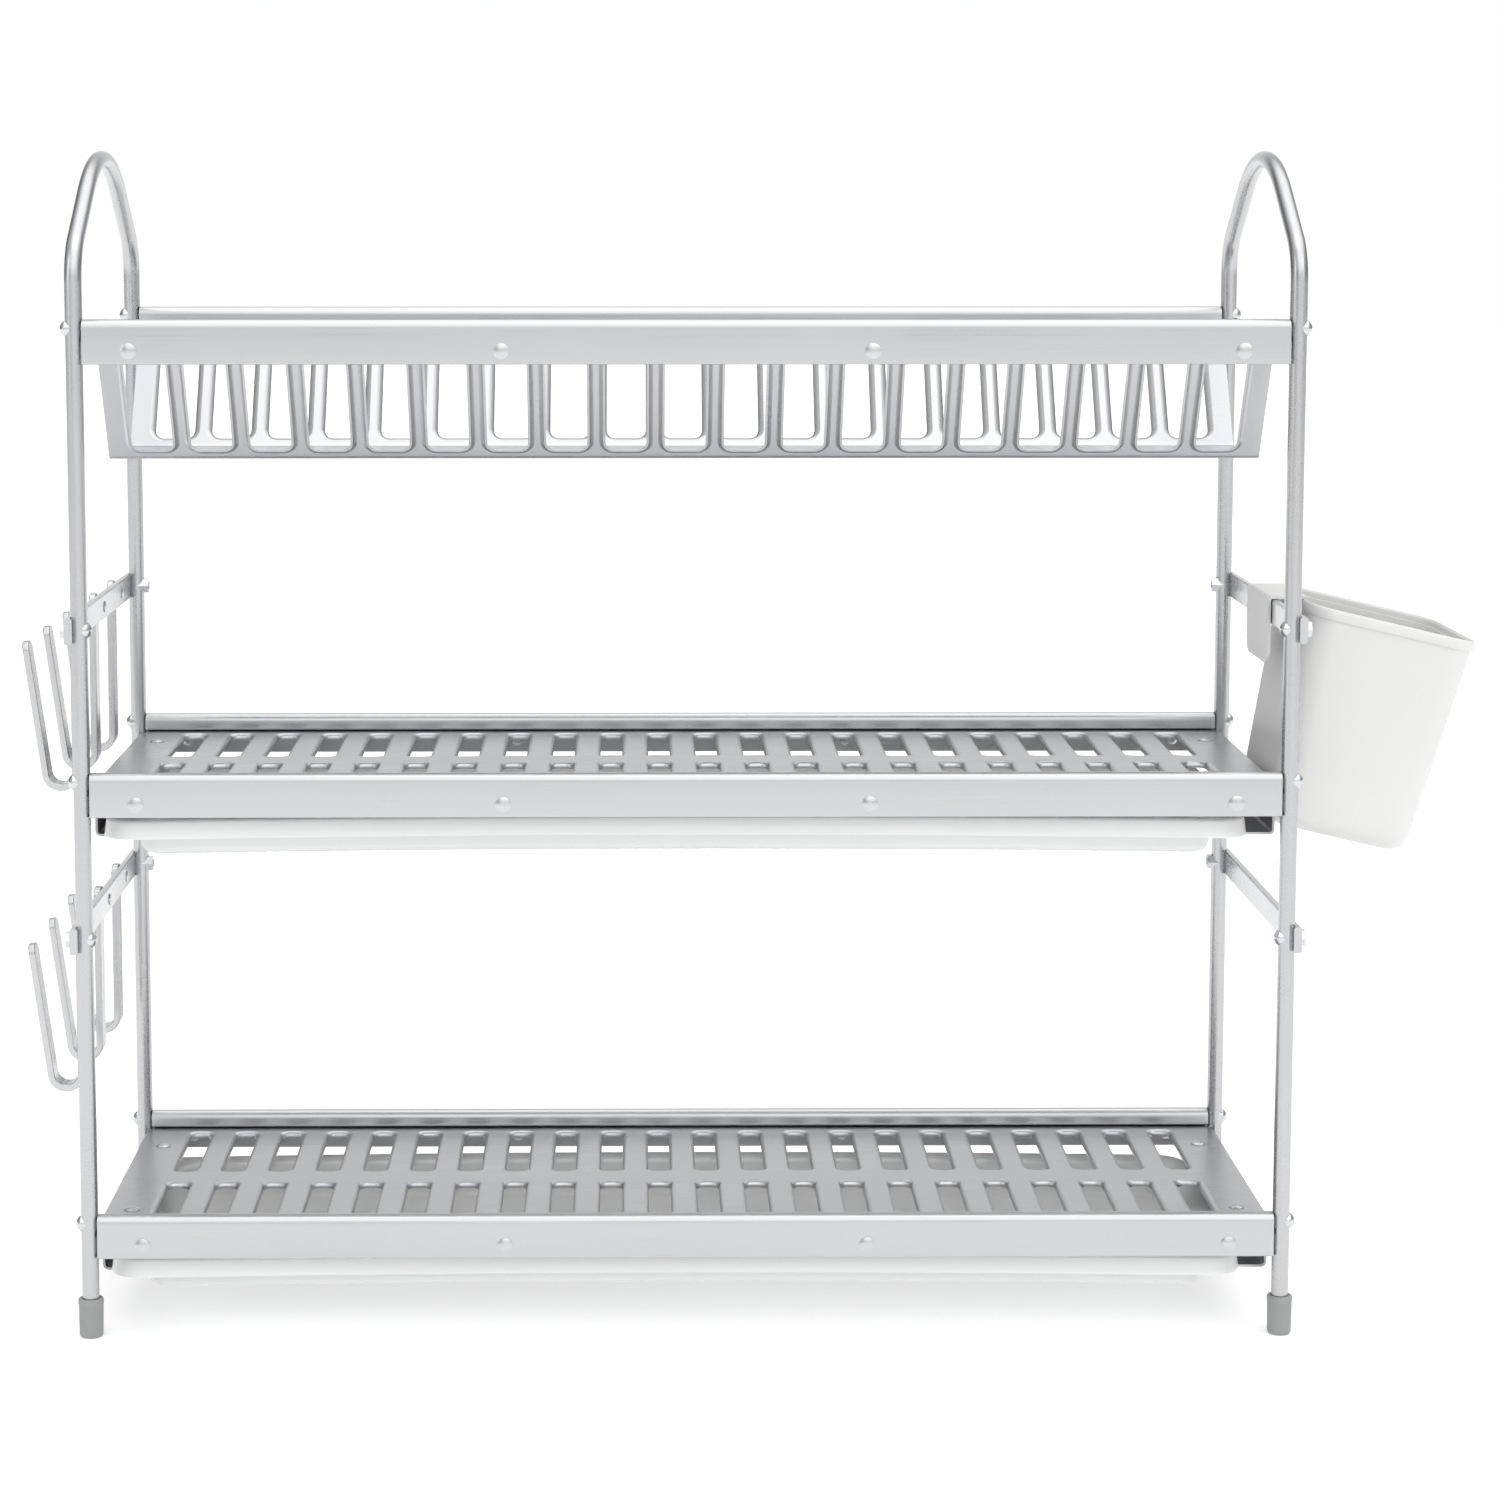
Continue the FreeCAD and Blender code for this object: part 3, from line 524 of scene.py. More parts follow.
class DISHRACK_OT_side_frames(bpy.types.Operator):
    """Bend the two tubes of the side frames"""
    bl_idname = "dishrack.side_frames"
    bl_label = "Side frames"

    def execute(self, context):
        for hand in HANDS:
            self.bend_tube(hand)
        return {"FINISHED"}

    def bend_tube(self, hand):
        sizes = bpy.context.scene.rack_frame
        node = f"{hand}_side_frame"
        low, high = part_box(node)
        x, half_y = post_place(hand)
        rise = RIGHT_ANGLE - sizes.flank_angle
        crown_z = high.z - sizes.tube_radius
        crown_hub = Vector((x, 0, crown_z - sizes.crown_radius))
        crown_start = crown_hub + sizes.crown_radius * Vector((0, -math.cos(rise), math.sin(rise)))
        shoulder_y = half_y - sizes.shoulder_radius
        shoulder_end_y = -shoulder_y - sizes.shoulder_radius * math.cos(rise)
        flank_length = (crown_start.y - shoulder_end_y) / math.cos(sizes.flank_angle)
        shoulder_z = (
            crown_start.z - flank_length * math.sin(sizes.flank_angle)
            - sizes.shoulder_radius * math.sin(rise)
        )
        flank = Vector((0, math.cos(sizes.flank_angle), math.sin(sizes.flank_angle))) * flank_length
        front_hub = Vector((x, -shoulder_y, shoulder_z))
        rear_hub = Vector((x, shoulder_y, shoulder_z))
        leg = AXIS_Z * (shoulder_z - low.z)

        bm = bmesh.new()
        ring = bmesh.ops.create_circle(bm, segments=sizes.ring_steps, radius=sizes.tube_radius)["verts"]
        bmesh.ops.translate(bm, vec=(x, -half_y, low.z), verts=ring)
        chain = bm.edges[:]
        chain = extrude_run(bm, chain, leg)
        chain = extrude_turn(bm, chain, front_hub, AXIS_X, -rise, 14)
        chain = extrude_run(bm, chain, flank)
        chain = extrude_turn(bm, chain, crown_hub, AXIS_X, -2 * sizes.flank_angle, 28)
        chain = extrude_run(bm, chain, Vector((0, flank.y, -flank.z)))
        chain = extrude_turn(bm, chain, rear_hub, AXIS_X, -rise, 14)
        extrude_run(bm, chain, -leg)
        bmesh.ops.recalc_face_normals(bm, faces=bm.faces[:])
        first = bm.faces[:][0]
        centre = first.calc_center_median()
        if first.normal.dot(Vector((centre.x - x, centre.y + half_y, 0))) < 0:
            bmesh.ops.reverse_faces(bm, faces=bm.faces[:])
        bmesh.ops.solidify(bm, geom=bm.faces[:], thickness=sizes.tube_wall)
        add_piece(f"{hand}_tube", bm, drawn_aluminium(), RACK_BODY, [node])


class DISHRACK_OT_feet(bpy.types.Operator):
    """Mould the four foot caps"""
    bl_idname = "dishrack.feet"
    bl_label = "Foot caps"

    def execute(self, context):
        sizes = context.scene.rack_frame
        for hand in HANDS:
            for side in SIDES:
                node = f"foot_{side}_{hand}"
                low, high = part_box(node)
                radius = (high.x - low.x) / 2
                height = high.z - low.z
                bm = bmesh.new()
                centre = middle(node)
                centre.z = low.z
                bore = sizes.tube_radius
                outline = [
                    (0, 0.4 * MM), (radius - 2.6 * MM, 0.4 * MM), (radius - 2.3 * MM, 0.0),
                    (radius - 1.7 * MM, 0.0), (radius - 0.9 * MM, 0.35 * MM),
                    (radius - 0.45 * MM, 1.2 * MM), (radius - 0.4 * MM, 2.4 * MM),
                    (radius - 0.2 * MM, height - 3.4 * MM),
                    (radius - 0.05 * MM, height - 3.1 * MM), (radius, height - 2.7 * MM),
                    (radius, height - 1.2 * MM), (radius - 0.25 * MM, height - 0.45 * MM),
                    (radius - 0.9 * MM, height), (bore + 0.5 * MM, height), (bore, height - 0.5 * MM),
                    (bore, 3.0 * MM), (0, 3.0 * MM),
                ]
                lathe(bm, outline, centre, AXIS_Z, 40)
                clean(bm)
                add_piece(f"foot_cap_{side}_{hand}", bm, soft_vinyl(), RACK_BODY, [node], 40.0)
        return {"FINISHED"}


class DISHRACK_OT_rails(bpy.types.Operator):
    """Extrude the six rails with their screw bosses and rolled lower edges"""
    bl_idname = "dishrack.rails"
    bl_label = "Rails"

    def execute(self, context):
        sizes = context.scene.rack_frame
        for tier in TIERS:
            for side, sign in SIDES.items():
                node = f"{side}_rail_{tier}"
                low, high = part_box(node)
                face_y = high.y if sign > 0 else -low.y
                boss = sizes.boss_size
                crown = boss * 0.46
                web_y = face_y - sizes.rail_web
                hem_y = web_y - 0.9 * MM
                hem = 2.2 * MM
                profile = [
                    (face_y, low.z, 0.7 * MM), (face_y, high.z, crown),
                    (face_y - boss, high.z, crown), (face_y - boss, high.z - boss, boss * 0.2),
                    (web_y, high.z - boss + 1.0 * MM, 1.0 * MM), (web_y, low.z + hem, 0.4 * MM),
                    (hem_y, low.z + hem - 0.7 * MM, 0.4 * MM), (hem_y, low.z, 0.6 * MM),
                ]
                bm = bmesh.new()
                outline_face(
                    bm, [(low.x, sign * y, z) for y, z, _ in profile],
                    [radius for _, _, radius in profile], 8,
                )
                extrude_face(bm, AXIS_X * (high.x - low.x))
                clean(bm)
                add_piece(f"{side}_{tier}_rail", bm, extruded_aluminium(), RACK_BODY, [node])
        return {"FINISHED"}


# ---- folded sheets ----

def slot_rim(bm, half_x, half_y, corner, radius, start, end, drop):
    """Turned-down rim of one slot, an arc between two angles, round the middle of the flat sheet."""
    reach = radius * (math.sin(end) - math.sin(start))
    face = rounded_plate(bm, half_x + reach, half_y + reach, corner + reach, 6)
    roll_in(bm, face, radius, start, end, 5, -1)
    step_in(bm, face, NEAR, -drop)
    bmesh.ops.delete(bm, geom=[face], context="FACES_ONLY")


def spread_slots(bm, centres):
    """Copies the slot rim in bm to every centre and drops the first one."""
    pattern = bm.verts[:] + bm.edges[:] + bm.faces[:]
    for x, y in centres:
        copied = bmesh.ops.duplicate(bm, geom=pattern)["geom"]
        bmesh.ops.translate(bm, vec=(x, y, 0), verts=vertices_of(copied))
    bmesh.ops.delete(bm, geom=vertices_of(pattern), context="VERTS")


def fill_sheet(bm, outline):
    """Fills the flat sheet between its outline and the slots."""
    border = [bm.verts.new(point) for point in outline]
    loop = [bm.edges.new(pair) for pair in zip(border, border[1:] + border[:1])]
    rims = [
        edge for edge in bm.edges
        if edge.is_boundary and all(abs(v.co.z) < 0.001 * MM for v in edge.verts)
    ]
    bmesh.ops.triangle_fill(
        bm, use_beauty=True, use_dissolve=False, edges=loop + rims, normal=(0, 0, 1)
    )


class DISHRACK_OT_shelves(bpy.types.Operator):
    """Press the two slotted shelves"""
    bl_idname = "dishrack.shelves"
    bl_label = "Shelves"

    def execute(self, context):
        for tier in SHARED_TIERS:
            self.press_shelf(tier)
        return {"FINISHED"}

    def press_shelf(self, tier):
        sizes = bpy.context.scene.sheet_sizes
        node = f"{tier}_shelf"
        low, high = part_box(node)
        _, rail_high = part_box(f"front_rail_{tier}")
        fold = sizes.fold_radius
        flat_y = high.y - fold
        notch_y = rail_high.y
        first = -(sizes.slot_columns - 1) / 2 * sizes.slot_pitch
        centres = [
            (first + column * sizes.slot_pitch, row * sizes.slot_row)
            for row in (-1, 1) for column in range(sizes.slot_columns)
        ]
        bm = bmesh.new()
        slot_rim(
            bm, sizes.slot_width / 2, sizes.slot_length / 2, sizes.slot_corner,
            sizes.rim_roll, 0.0, RIGHT_ANGLE, sizes.rim_drop,
        )
        spread_slots(bm, centres)
        corner_y = -notch_y - 7 * MM
        quarter = [
            (high.x, corner_y), (rail_high.x, corner_y + 1 * MM), (rail_high.x, flat_y),
        ]
        outline = quarter + [(-x, y) for x, y in reversed(quarter)]
        outline += [(-x, -y) for x, y in quarter] + [(x, -y) for x, y in reversed(quarter)]
        fill_sheet(bm, [(x, y, 0) for x, y in outline])
        for side in SIDES.values():
            edge = [
                item for item in bm.edges
                if item.is_boundary and all(abs(v.co.y - side * flat_y) < NEAR for v in item.verts)
            ]
            hub = Vector((0, side * flat_y, -fold))
            chain = extrude_turn(bm, edge, hub, AXIS_X, -side * RIGHT_ANGLE, FOLD_STEPS)
            extrude_run(bm, chain, AXIS_Z * -(high.z - low.z - fold))
        merge_doubles(bm)
        give_wall(bm, sizes.thickness, lambda face: face.normal.z * face.calc_area())
        bmesh.ops.translate(bm, vec=AXIS_Z * high.z, verts=bm.verts[:])
        add_piece(
            f"{tier}_slotted_shelf", bm, rolled_sheet(), RACK_BODY, [node], 40.0, even=True
        )


def folded_stations(corners, radius):
    """Straight and round stretches of a folded outline, by how far along the sheet they start."""
    stretches = []
    along = 0.0
    start = corners[0]
    for corner, after in zip(corners[1:], corners[2:] + [None]):
        run = corner - start
        ahead = run.normalized()
        if after is None:
            stretches.append(("run", along, run.length, start, ahead))
            break
        turn = ahead.angle_signed(after - corner)
        reach = radius * math.tan(abs(turn) / 2)
        stretches.append(("run", along, run.length - reach, start, ahead))
        along += run.length - reach
        start = corner - ahead * reach
        stretches.append(("turn", along, radius * abs(turn), start, (ahead, -turn, radius)))
        along += radius * abs(turn)
        start = corner + (after - corner).normalized() * reach
    return stretches


def on_fold(stretches, along, height):
    """Point of the folded outline at a distance along it and a height above its face."""
    kind, begins, _, start, way = [item for item in stretches if item[1] <= along + 1e-9][-1]
    past = along - begins
    if kind == "run":
        return start + way * past + Vector((-way.y, way.x)) * height
    ahead, turn, radius = way
    sign = 1 if turn > 0 else -1
    hub = start + Vector((-ahead.y, ahead.x)) * radius * sign
    spoke = Matrix.Rotation(sign * past / radius, 2) @ (start - hub)
    return hub + spoke * (1 - sign * height / radius)


class DISHRACK_OT_plate_rack(bpy.types.Operator):
    """Fold the slotted plate rack"""
    bl_idname = "dishrack.plate_rack"
    bl_label = "Plate rack"

    def execute(self, context):
        sizes = context.scene.sheet_sizes
        low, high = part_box("plate_rack")
        floor_z = low.z + sizes.thickness
        mouth_y = 76.6 * MM
        floor_y = 37.0 * MM
        corners = [
            Vector((0, floor_z)), Vector((floor_y, floor_z)), Vector((mouth_y, high.z)),
            Vector((high.y, high.z)), Vector((high.y, high.z - 10 * MM)),
        ]
        stretches = folded_stations(corners, sizes.fold_radius)
        wall, flange, last = stretches[2], stretches[4], stretches[-1]
        slot_start = wall[1] + 4.6 * MM
        slot_end = flange[1] + 19.0 * MM
        slot_middle = (slot_start + slot_end) / 2
        first = -(sizes.plate_slots - 1) / 2 * sizes.plate_pitch
        centres = [
            (first + slot * sizes.plate_pitch, side * slot_middle)
            for side in (-1, 1) for slot in range(sizes.plate_slots)
        ]
        bm = bmesh.new()
        slot_rim(
            bm, sizes.plate_slot_width / 2, (slot_end - slot_start) / 2, sizes.plate_slot_corner,
            sizes.flange_radius, math.radians(20), math.radians(60), 0.2 * MM,
        )
        spread_slots(bm, centres)
        reach = last[1] + last[2]
        fill_sheet(bm, [(high.x, -reach, 0), (high.x, reach, 0), (low.x, reach, 0), (low.x, -reach, 0)])
        for kind, begins, length, _, _ in stretches:
            if kind != "turn":
                continue
            for step in range(FOLD_STEPS + 1):
                for side in (-1, 1):
                    cut_across(bm, AXIS_Y * side * (begins + length * step / FOLD_STEPS), AXIS_Y)
        bmesh.ops.dissolve_degenerate(bm, edges=bm.edges[:], dist=0.03 * MM)
        for vertex in bm.verts:
            place = on_fold(stretches, abs(vertex.co.y), vertex.co.z)
            side = -1 if vertex.co.y < 0 else 1
            vertex.co = (vertex.co.x, side * place.x, place.y)
        give_wall(bm, sizes.thickness, lambda face: face.normal.z * face.calc_area())
        add_piece(
            "folded_plate_rack", bm, rolled_sheet(), RACK_BODY, ["plate_rack"], 18.0, even=True
        )
        return {"FINISHED"}


class DISHRACK_OT_tray_guides(bpy.types.Operator):
    """Fold the four channels that carry the trays"""
    bl_idname = "dishrack.tray_guides"
    bl_label = "Tray guides"

    def execute(self, context):
        sizes = context.scene.sheet_sizes
        fold = sizes.fold_radius
        for tier in SHARED_TIERS:
            for hand, sign in HANDS.items():
                node = f"tray_guide_{tier}_{hand}"
                low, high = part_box(node)
                outer = high.x if sign > 0 else low.x
                inner = low.x if sign > 0 else high.x
                bm = bmesh.new()
                start = [bm.verts.new((inner, y, high.z)) for y in (low.y, high.y)]
                chain = [bm.edges.new(start)]
                run = (outer - inner) - sign * fold
                chain = extrude_run(bm, chain, AXIS_X * run)
                hub = Vector((outer - sign * fold, 0, high.z - fold))
                chain = extrude_turn(bm, chain, hub, AXIS_Y, sign * RIGHT_ANGLE, FOLD_STEPS)
                chain = extrude_run(bm, chain, AXIS_Z * -(high.z - low.z - 2 * fold))
                hub.z = low.z + fold
                chain = extrude_turn(bm, chain, hub, AXIS_Y, sign * RIGHT_ANGLE, FOLD_STEPS)
                extrude_run(bm, chain, AXIS_X * -run)
                heart = (outer + inner) / 2
                give_wall(
                    bm, sizes.thickness,
                    lambda face: (
                        face.normal.x * (face.calc_center_median().x - heart) * face.calc_area()
                    ),
                )
                add_piece(f"{tier}_{hand}_tray_guide", bm, rolled_sheet(), RACK_BODY, [node])
        return {"FINISHED"}


# ---- drip trays ----

class DISHRACK_OT_drip_trays(bpy.types.Operator):
    """Mould the two drip trays, each with its turned-down rim and slight bow"""
    bl_idname = "dishrack.drip_trays"
    bl_label = "Drip trays"

    def execute(self, context):
        for tier in SHARED_TIERS:
            self.mould_tray(tier)
        return {"FINISHED"}

    def mould_tray(self, tier):
        sizes = bpy.context.scene.moulding_sizes
        node = f"drip_tray_{tier}"
        low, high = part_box(node)
        centre = (low + high) / 2
        half = (high - low) / 2
        skirt = 9.8 * MM
        flare = 1.0 * MM
        rim_roll = 2.2 * MM
        overhang = 16.0 * MM
        inner_roll = 2.5 * MM
        floor_roll = 3.5 * MM
        draft = 3.5 * MM
        bm = bmesh.new()
        hem_in = 0.15 * MM
        hem_height = 1.2 * MM
        rim = rounded_plate(
            bm, half.x, half.y, sizes.tray_corner, CORNER_STEPS, (centre.x, centre.y, high.z - skirt)
        )
        step_in(bm, rim, hem_in, hem_height)
        step_in(bm, rim, flare - hem_in, skirt - hem_height - rim_roll)
        round_over(bm, rim, rim_roll, FOLD_STEPS, way=1)
        rim_width = 6.0 * MM
        rim_dip = 0.3 * MM
        step_in(bm, rim, rim_width, -rim_dip)
        bmesh.ops.delete(bm, geom=[rim], context="FACES_ONLY")
        bowl_top = high.z - 2 * rim_dip
        bowl = rounded_plate(
            bm, half.x - overhang + inner_roll, half.y - overhang + inner_roll,
            sizes.bowl_corner + inner_roll, CORNER_STEPS, (centre.x, centre.y, bowl_top),
        )
        wall_angle = RIGHT_ANGLE * 0.9
        roll_in(bm, bowl, inner_roll, 0.0, wall_angle, 5, -1)
        depth = half.z * 2 - 2 * rim_dip - inner_roll - floor_roll - sizes.tray_wall
        step_in(bm, bowl, draft * 0.7, -depth)
        round_over(bm, bowl, floor_roll, 8)
        join_levels(bm, high.z - rim_dip, bowl_top)
        cuts = 32
        for cut in range(1, cuts):
            cut_across(bm, AXIS_X * (low.x + (high.x - low.x) * cut / cuts), AXIS_X)
        give_wall(bm, sizes.tray_wall, lambda face: face.normal.z * face.calc_area())
        for vertex in bm.verts:
            share = (vertex.co.x - centre.x) / half.x
            vertex.co.z += sizes.tray_bow * (1 - share * share)
        add_piece(
            f"{tier}_drip_tray", bm, tray_polypropylene(), f"{tier}_tray", [node], 50.0,
            even=True,
        )


# ---- side bars, hooks and fasteners ----

class DISHRACK_OT_side_bars(bpy.types.Operator):
    """Give the four flat side bars their polished finish"""
    bl_idname = "dishrack.side_bars"
    bl_label = "Side bars"

    def execute(self, context):
        for hand in HANDS:
            for level in LEVELS:
                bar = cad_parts[f"{hand}_bar_{level}"]
                refinish(bar, flat_bar())
        return {"FINISHED"}


class DISHRACK_OT_mug_hooks(bpy.types.Operator):
    """Bend the six mug hooks from flat strip"""
    bl_idname = "dishrack.mug_hooks"
    bl_label = "Mug hooks"

    def execute(self, context):
        for level in LEVELS:
            for number in (1, 2, 3):
                self.bend_hook(f"mug_hook_{level}_{number}", f"hook_{level}_{number}")
        return {"FINISHED"}

    def bend_hook(self, node, name):
        low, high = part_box(node)
        strip = 3.5 * MM
        bend = 7.65 * MM
        lean = math.radians(7.8)
        tip_below_top = 17.0 * MM
        leg_x = high.x - strip / 2
        hub = Vector((leg_x - bend, middle(node).y, low.z + strip / 2 + bend))
        bm = bmesh.new()
        corners = [
            bm.verts.new((x, y, high.z)) for x, y in (
                (high.x - strip, low.y), (high.x, low.y), (high.x, high.y), (high.x - strip, high.y),
            )
        ]
        cap = bm.faces.new(corners)
        chain = list(cap.edges)
        chain = extrude_run(bm, chain, AXIS_Z * (hub.z - high.z))
        chain = extrude_turn(bm, chain, hub, AXIS_Y, math.pi - lean, 18)
        up = Vector((-math.sin(lean), 0, math.cos(lean)))
        heights = [v.co.z for edge in chain for v in edge.verts]
        length = (high.z - tip_below_top - sum(heights) / len(heights)) / math.cos(lean)
        chain = extrude_run(bm, chain, up * length)
        bmesh.ops.contextual_create(bm, geom=chain)
        merge_doubles(bm)
        ends = [
            edge for edge in bm.edges
            if abs(edge.calc_length() - strip) < 0.05 * MM
            and min(v.co.z for v in edge.verts) > high.z - tip_below_top - 3 * MM
        ]
        bevel_edges(bm, ends, 5.0 * MM, 7)
        clean(bm)
        sharp = [edge for edge in bm.edges if edge.calc_face_angle(0.0) > math.radians(50)]
        bevel_edges(bm, sharp, 0.55 * MM, 3)
        clean(bm)
        add_piece(name, bm, flat_bar(), RACK_BODY, [node], 40.0, even=True)


def domed_outline(radius, height, edge, tail):
    """Half outline of a domed head with a short upright edge, down to a tail inside the work."""
    cap = height - edge
    ball = (radius ** 2 + cap ** 2) / (2 * cap)
    half_angle = math.asin(radius / ball)
    outline = [(0.0, height)]
    for step in range(1, 8):
        angle = half_angle * step / 7
        outline.append((ball * math.sin(angle), height - ball * (1 - math.cos(angle))))
    outline += [(radius, 0.0), (radius * 0.92, -tail), (0.0, -tail)]
    return outline


RIVET_HEAD = (4.0 * MM, 1.3 * MM)
RIVET_TAIL = (3.0 * MM, 1.1 * MM)
RAIL_RIVETS_X = (-273, -91, 91, 273)
RAIL_RIVET_DROP = 15.4 * MM
SHELF_RIVETS_X = (-284.5, 284.5)
SHELF_RIVETS_Y = (-60, 60)


class DISHRACK_OT_rivets(bpy.types.Operator):
    """Set the rivets of the rails, shelves and hooks"""
    bl_idname = "dishrack.rivets"
    bl_label = "Rivets"

    def execute(self, context):
        self.set_rail_rivets()
        self.set_shelf_rivets()
        self.set_hook_rivets()
        return {"FINISHED"}

    def head(self, bm, seat, outward, size=RIVET_HEAD):
        lathe(bm, domed_outline(*size, 0.35 * MM, 0.3 * MM), seat, outward, 28)

    def set_rail_rivets(self):
        bm = bmesh.new()
        for tier in TIERS:
            for side, sign in SIDES.items():
                low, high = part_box(f"{side}_rail_{tier}")
                face_y = sign * max(high.y, -low.y)
                scene = bpy.context.scene
                grip = scene.rack_frame.rail_web + scene.sheet_sizes.thickness
                for x in RAIL_RIVETS_X:
                    seat = Vector((x * MM, face_y, high.z - RAIL_RIVET_DROP))
                    self.head(bm, seat, AXIS_Y * sign)
                    self.head(bm, seat - AXIS_Y * sign * grip, AXIS_Y * -sign, RIVET_TAIL)
        clean(bm)
        add_piece("rail_rivet_heads", bm, set_rivet(), RACK_BODY, ["rail_rivets"], 40.0)

    def set_shelf_rivets(self):
        bm = bmesh.new()
        grip = 2 * bpy.context.scene.sheet_sizes.thickness
        for tier in SHARED_TIERS:
            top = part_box(f"{tier}_shelf")[1].z
            for x in SHELF_RIVETS_X:
                for y in SHELF_RIVETS_Y:
                    seat = Vector((x * MM, y * MM, top))
                    self.head(bm, seat, AXIS_Z)
                    self.head(bm, seat - AXIS_Z * grip, -AXIS_Z, RIVET_TAIL)
        clean(bm)
        add_piece("shelf_rivet_heads", bm, set_rivet(), RACK_BODY, ["shelf_rivets"], 40.0)

    def set_hook_rivets(self):
        bm = bmesh.new()
        for level in LEVELS:
            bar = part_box(f"left_bar_{level}")
            for number in (1, 2, 3):
                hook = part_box(f"mug_hook_{level}_{number}")
                seat = middle(f"mug_hook_{level}_{number}")
                seat.z = middle(f"left_bar_{level}").z
                seat.x = hook[1].x - 3.5 * MM
                self.head(bm, seat, -AXIS_X)
                seat.x = bar[1].x
                self.head(bm, seat, AXIS_X, RIVET_TAIL)
        clean(bm)
        add_piece("hook_rivet_heads", bm, set_rivet(), RACK_BODY, ["hook_rivets"], 40.0)


class DISHRACK_OT_fasteners(bpy.types.Operator):
    """Finish the screws, bolts and nuts that hold the rack together"""
    bl_idname = "dishrack.fasteners"
    bl_label = "Screws, bolts and nuts"

    def execute(self, context):
        for node in ("rail_screws", "bar_bolts", "bar_nuts"):
            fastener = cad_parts[node]
            refinish(fastener, zinc_steel())
        return {"FINISHED"}


# ---- cutlery cup ----

class DISHRACK_OT_cutlery_cup(bpy.types.Operator):
    """Mould the cutlery cup and the strap that hangs it on its bar"""
    bl_idname = "dishrack.cutlery_cup"
    bl_label = "Cutlery cup"

    def execute(self, context):
        sizes = context.scene.moulding_sizes
        lean = math.radians(13.3)
        height = 115.6 * MM
        mouth = Vector((43.2, 54.4)) * MM
        foot = Vector((37.4, 48.5)) * MM
        proud = 1.1 * MM
        edge = 0.6 * MM
        band = 4.6 * MM
        roll = sizes.cup_rounding
        out = proud - edge
        bm = bmesh.new()
        rim = rounded_plate(
            bm, mouth.x + out, mouth.y + out, sizes.cup_corner + out, CORNER_STEPS, AXIS_Z * height
        )
        for inward, down in ((-0.35, 0.15), (-0.25, 0.45)):
            step_in(bm, rim, inward * MM, -down * MM)
        step_in(bm, rim, NEAR, -band)
        step_in(bm, rim, 0.3 * MM, -0.4 * MM)
        step_in(bm, rim, proud - 0.3 * MM, -0.1 * MM)
        rim_z = rim.verts[0].co.z
        bmesh.ops.delete(bm, geom=[rim], context="FACES_ONLY")
        share = roll / height
        start = foot + (mouth - foot) * share
        base = rounded_plate(bm, start.x, start.y, sizes.cup_corner, CORNER_STEPS, AXIS_Z * roll)
        round_over(bm, base, roll, 8)
        join_levels(bm, roll, rim_z)
        give_wall(bm, sizes.cup_wall, lambda item: -item.normal.z * item.calc_area())
        bmesh.ops.rotate(bm, cent=(0, 0, 0), matrix=Matrix.Rotation(lean, 3, "Y"), verts=bm.verts[:])
        bmesh.ops.translate(bm, vec=Vector((335.4, 0, 243.0)) * MM, verts=bm.verts[:])
        add_piece(
            "hanging_cutlery_cup", bm, cup_polypropylene(), "cup", ["cutlery_cup"], 50.0
        )
        self.mould_strap()
        return {"FINISHED"}

    def mould_strap(self):
        _, bar_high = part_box("right_bar_upper")
        cup_low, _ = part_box("cutlery_cup")
        thickness = 1.6 * MM
        fold = 2.4 * MM
        half_width = 30.0 * MM
        top = bar_high.z + 0.3 * MM + thickness
        outer = cup_low.x
        low = bar_high.z + 0.3 * MM - 34.0 * MM
        reach = 17.0 * MM
        bm = bmesh.new()
        start = [bm.verts.new((outer, y, low)) for y in (-half_width, half_width)]
        chain = [bm.edges.new(start)]
        chain = extrude_run(bm, chain, AXIS_Z * (top - low - fold))
        chain = extrude_turn(bm, chain, Vector((outer + fold, 0, top - fold)), AXIS_Y, RIGHT_ANGLE, 6)
        extrude_run(bm, chain, AXIS_X * reach)
        corners = [v for v in bm.verts if v.co.z < low + NEAR]
        for corner in corners:
            round_corners(bm, [corner], 8.0 * MM, 8)
        give_wall(bm, thickness, lambda item: (item.normal.z - item.normal.x) * item.calc_area())
        add_piece("cup_strap", bm, cup_polypropylene(), "cup")


# ---- stage ----

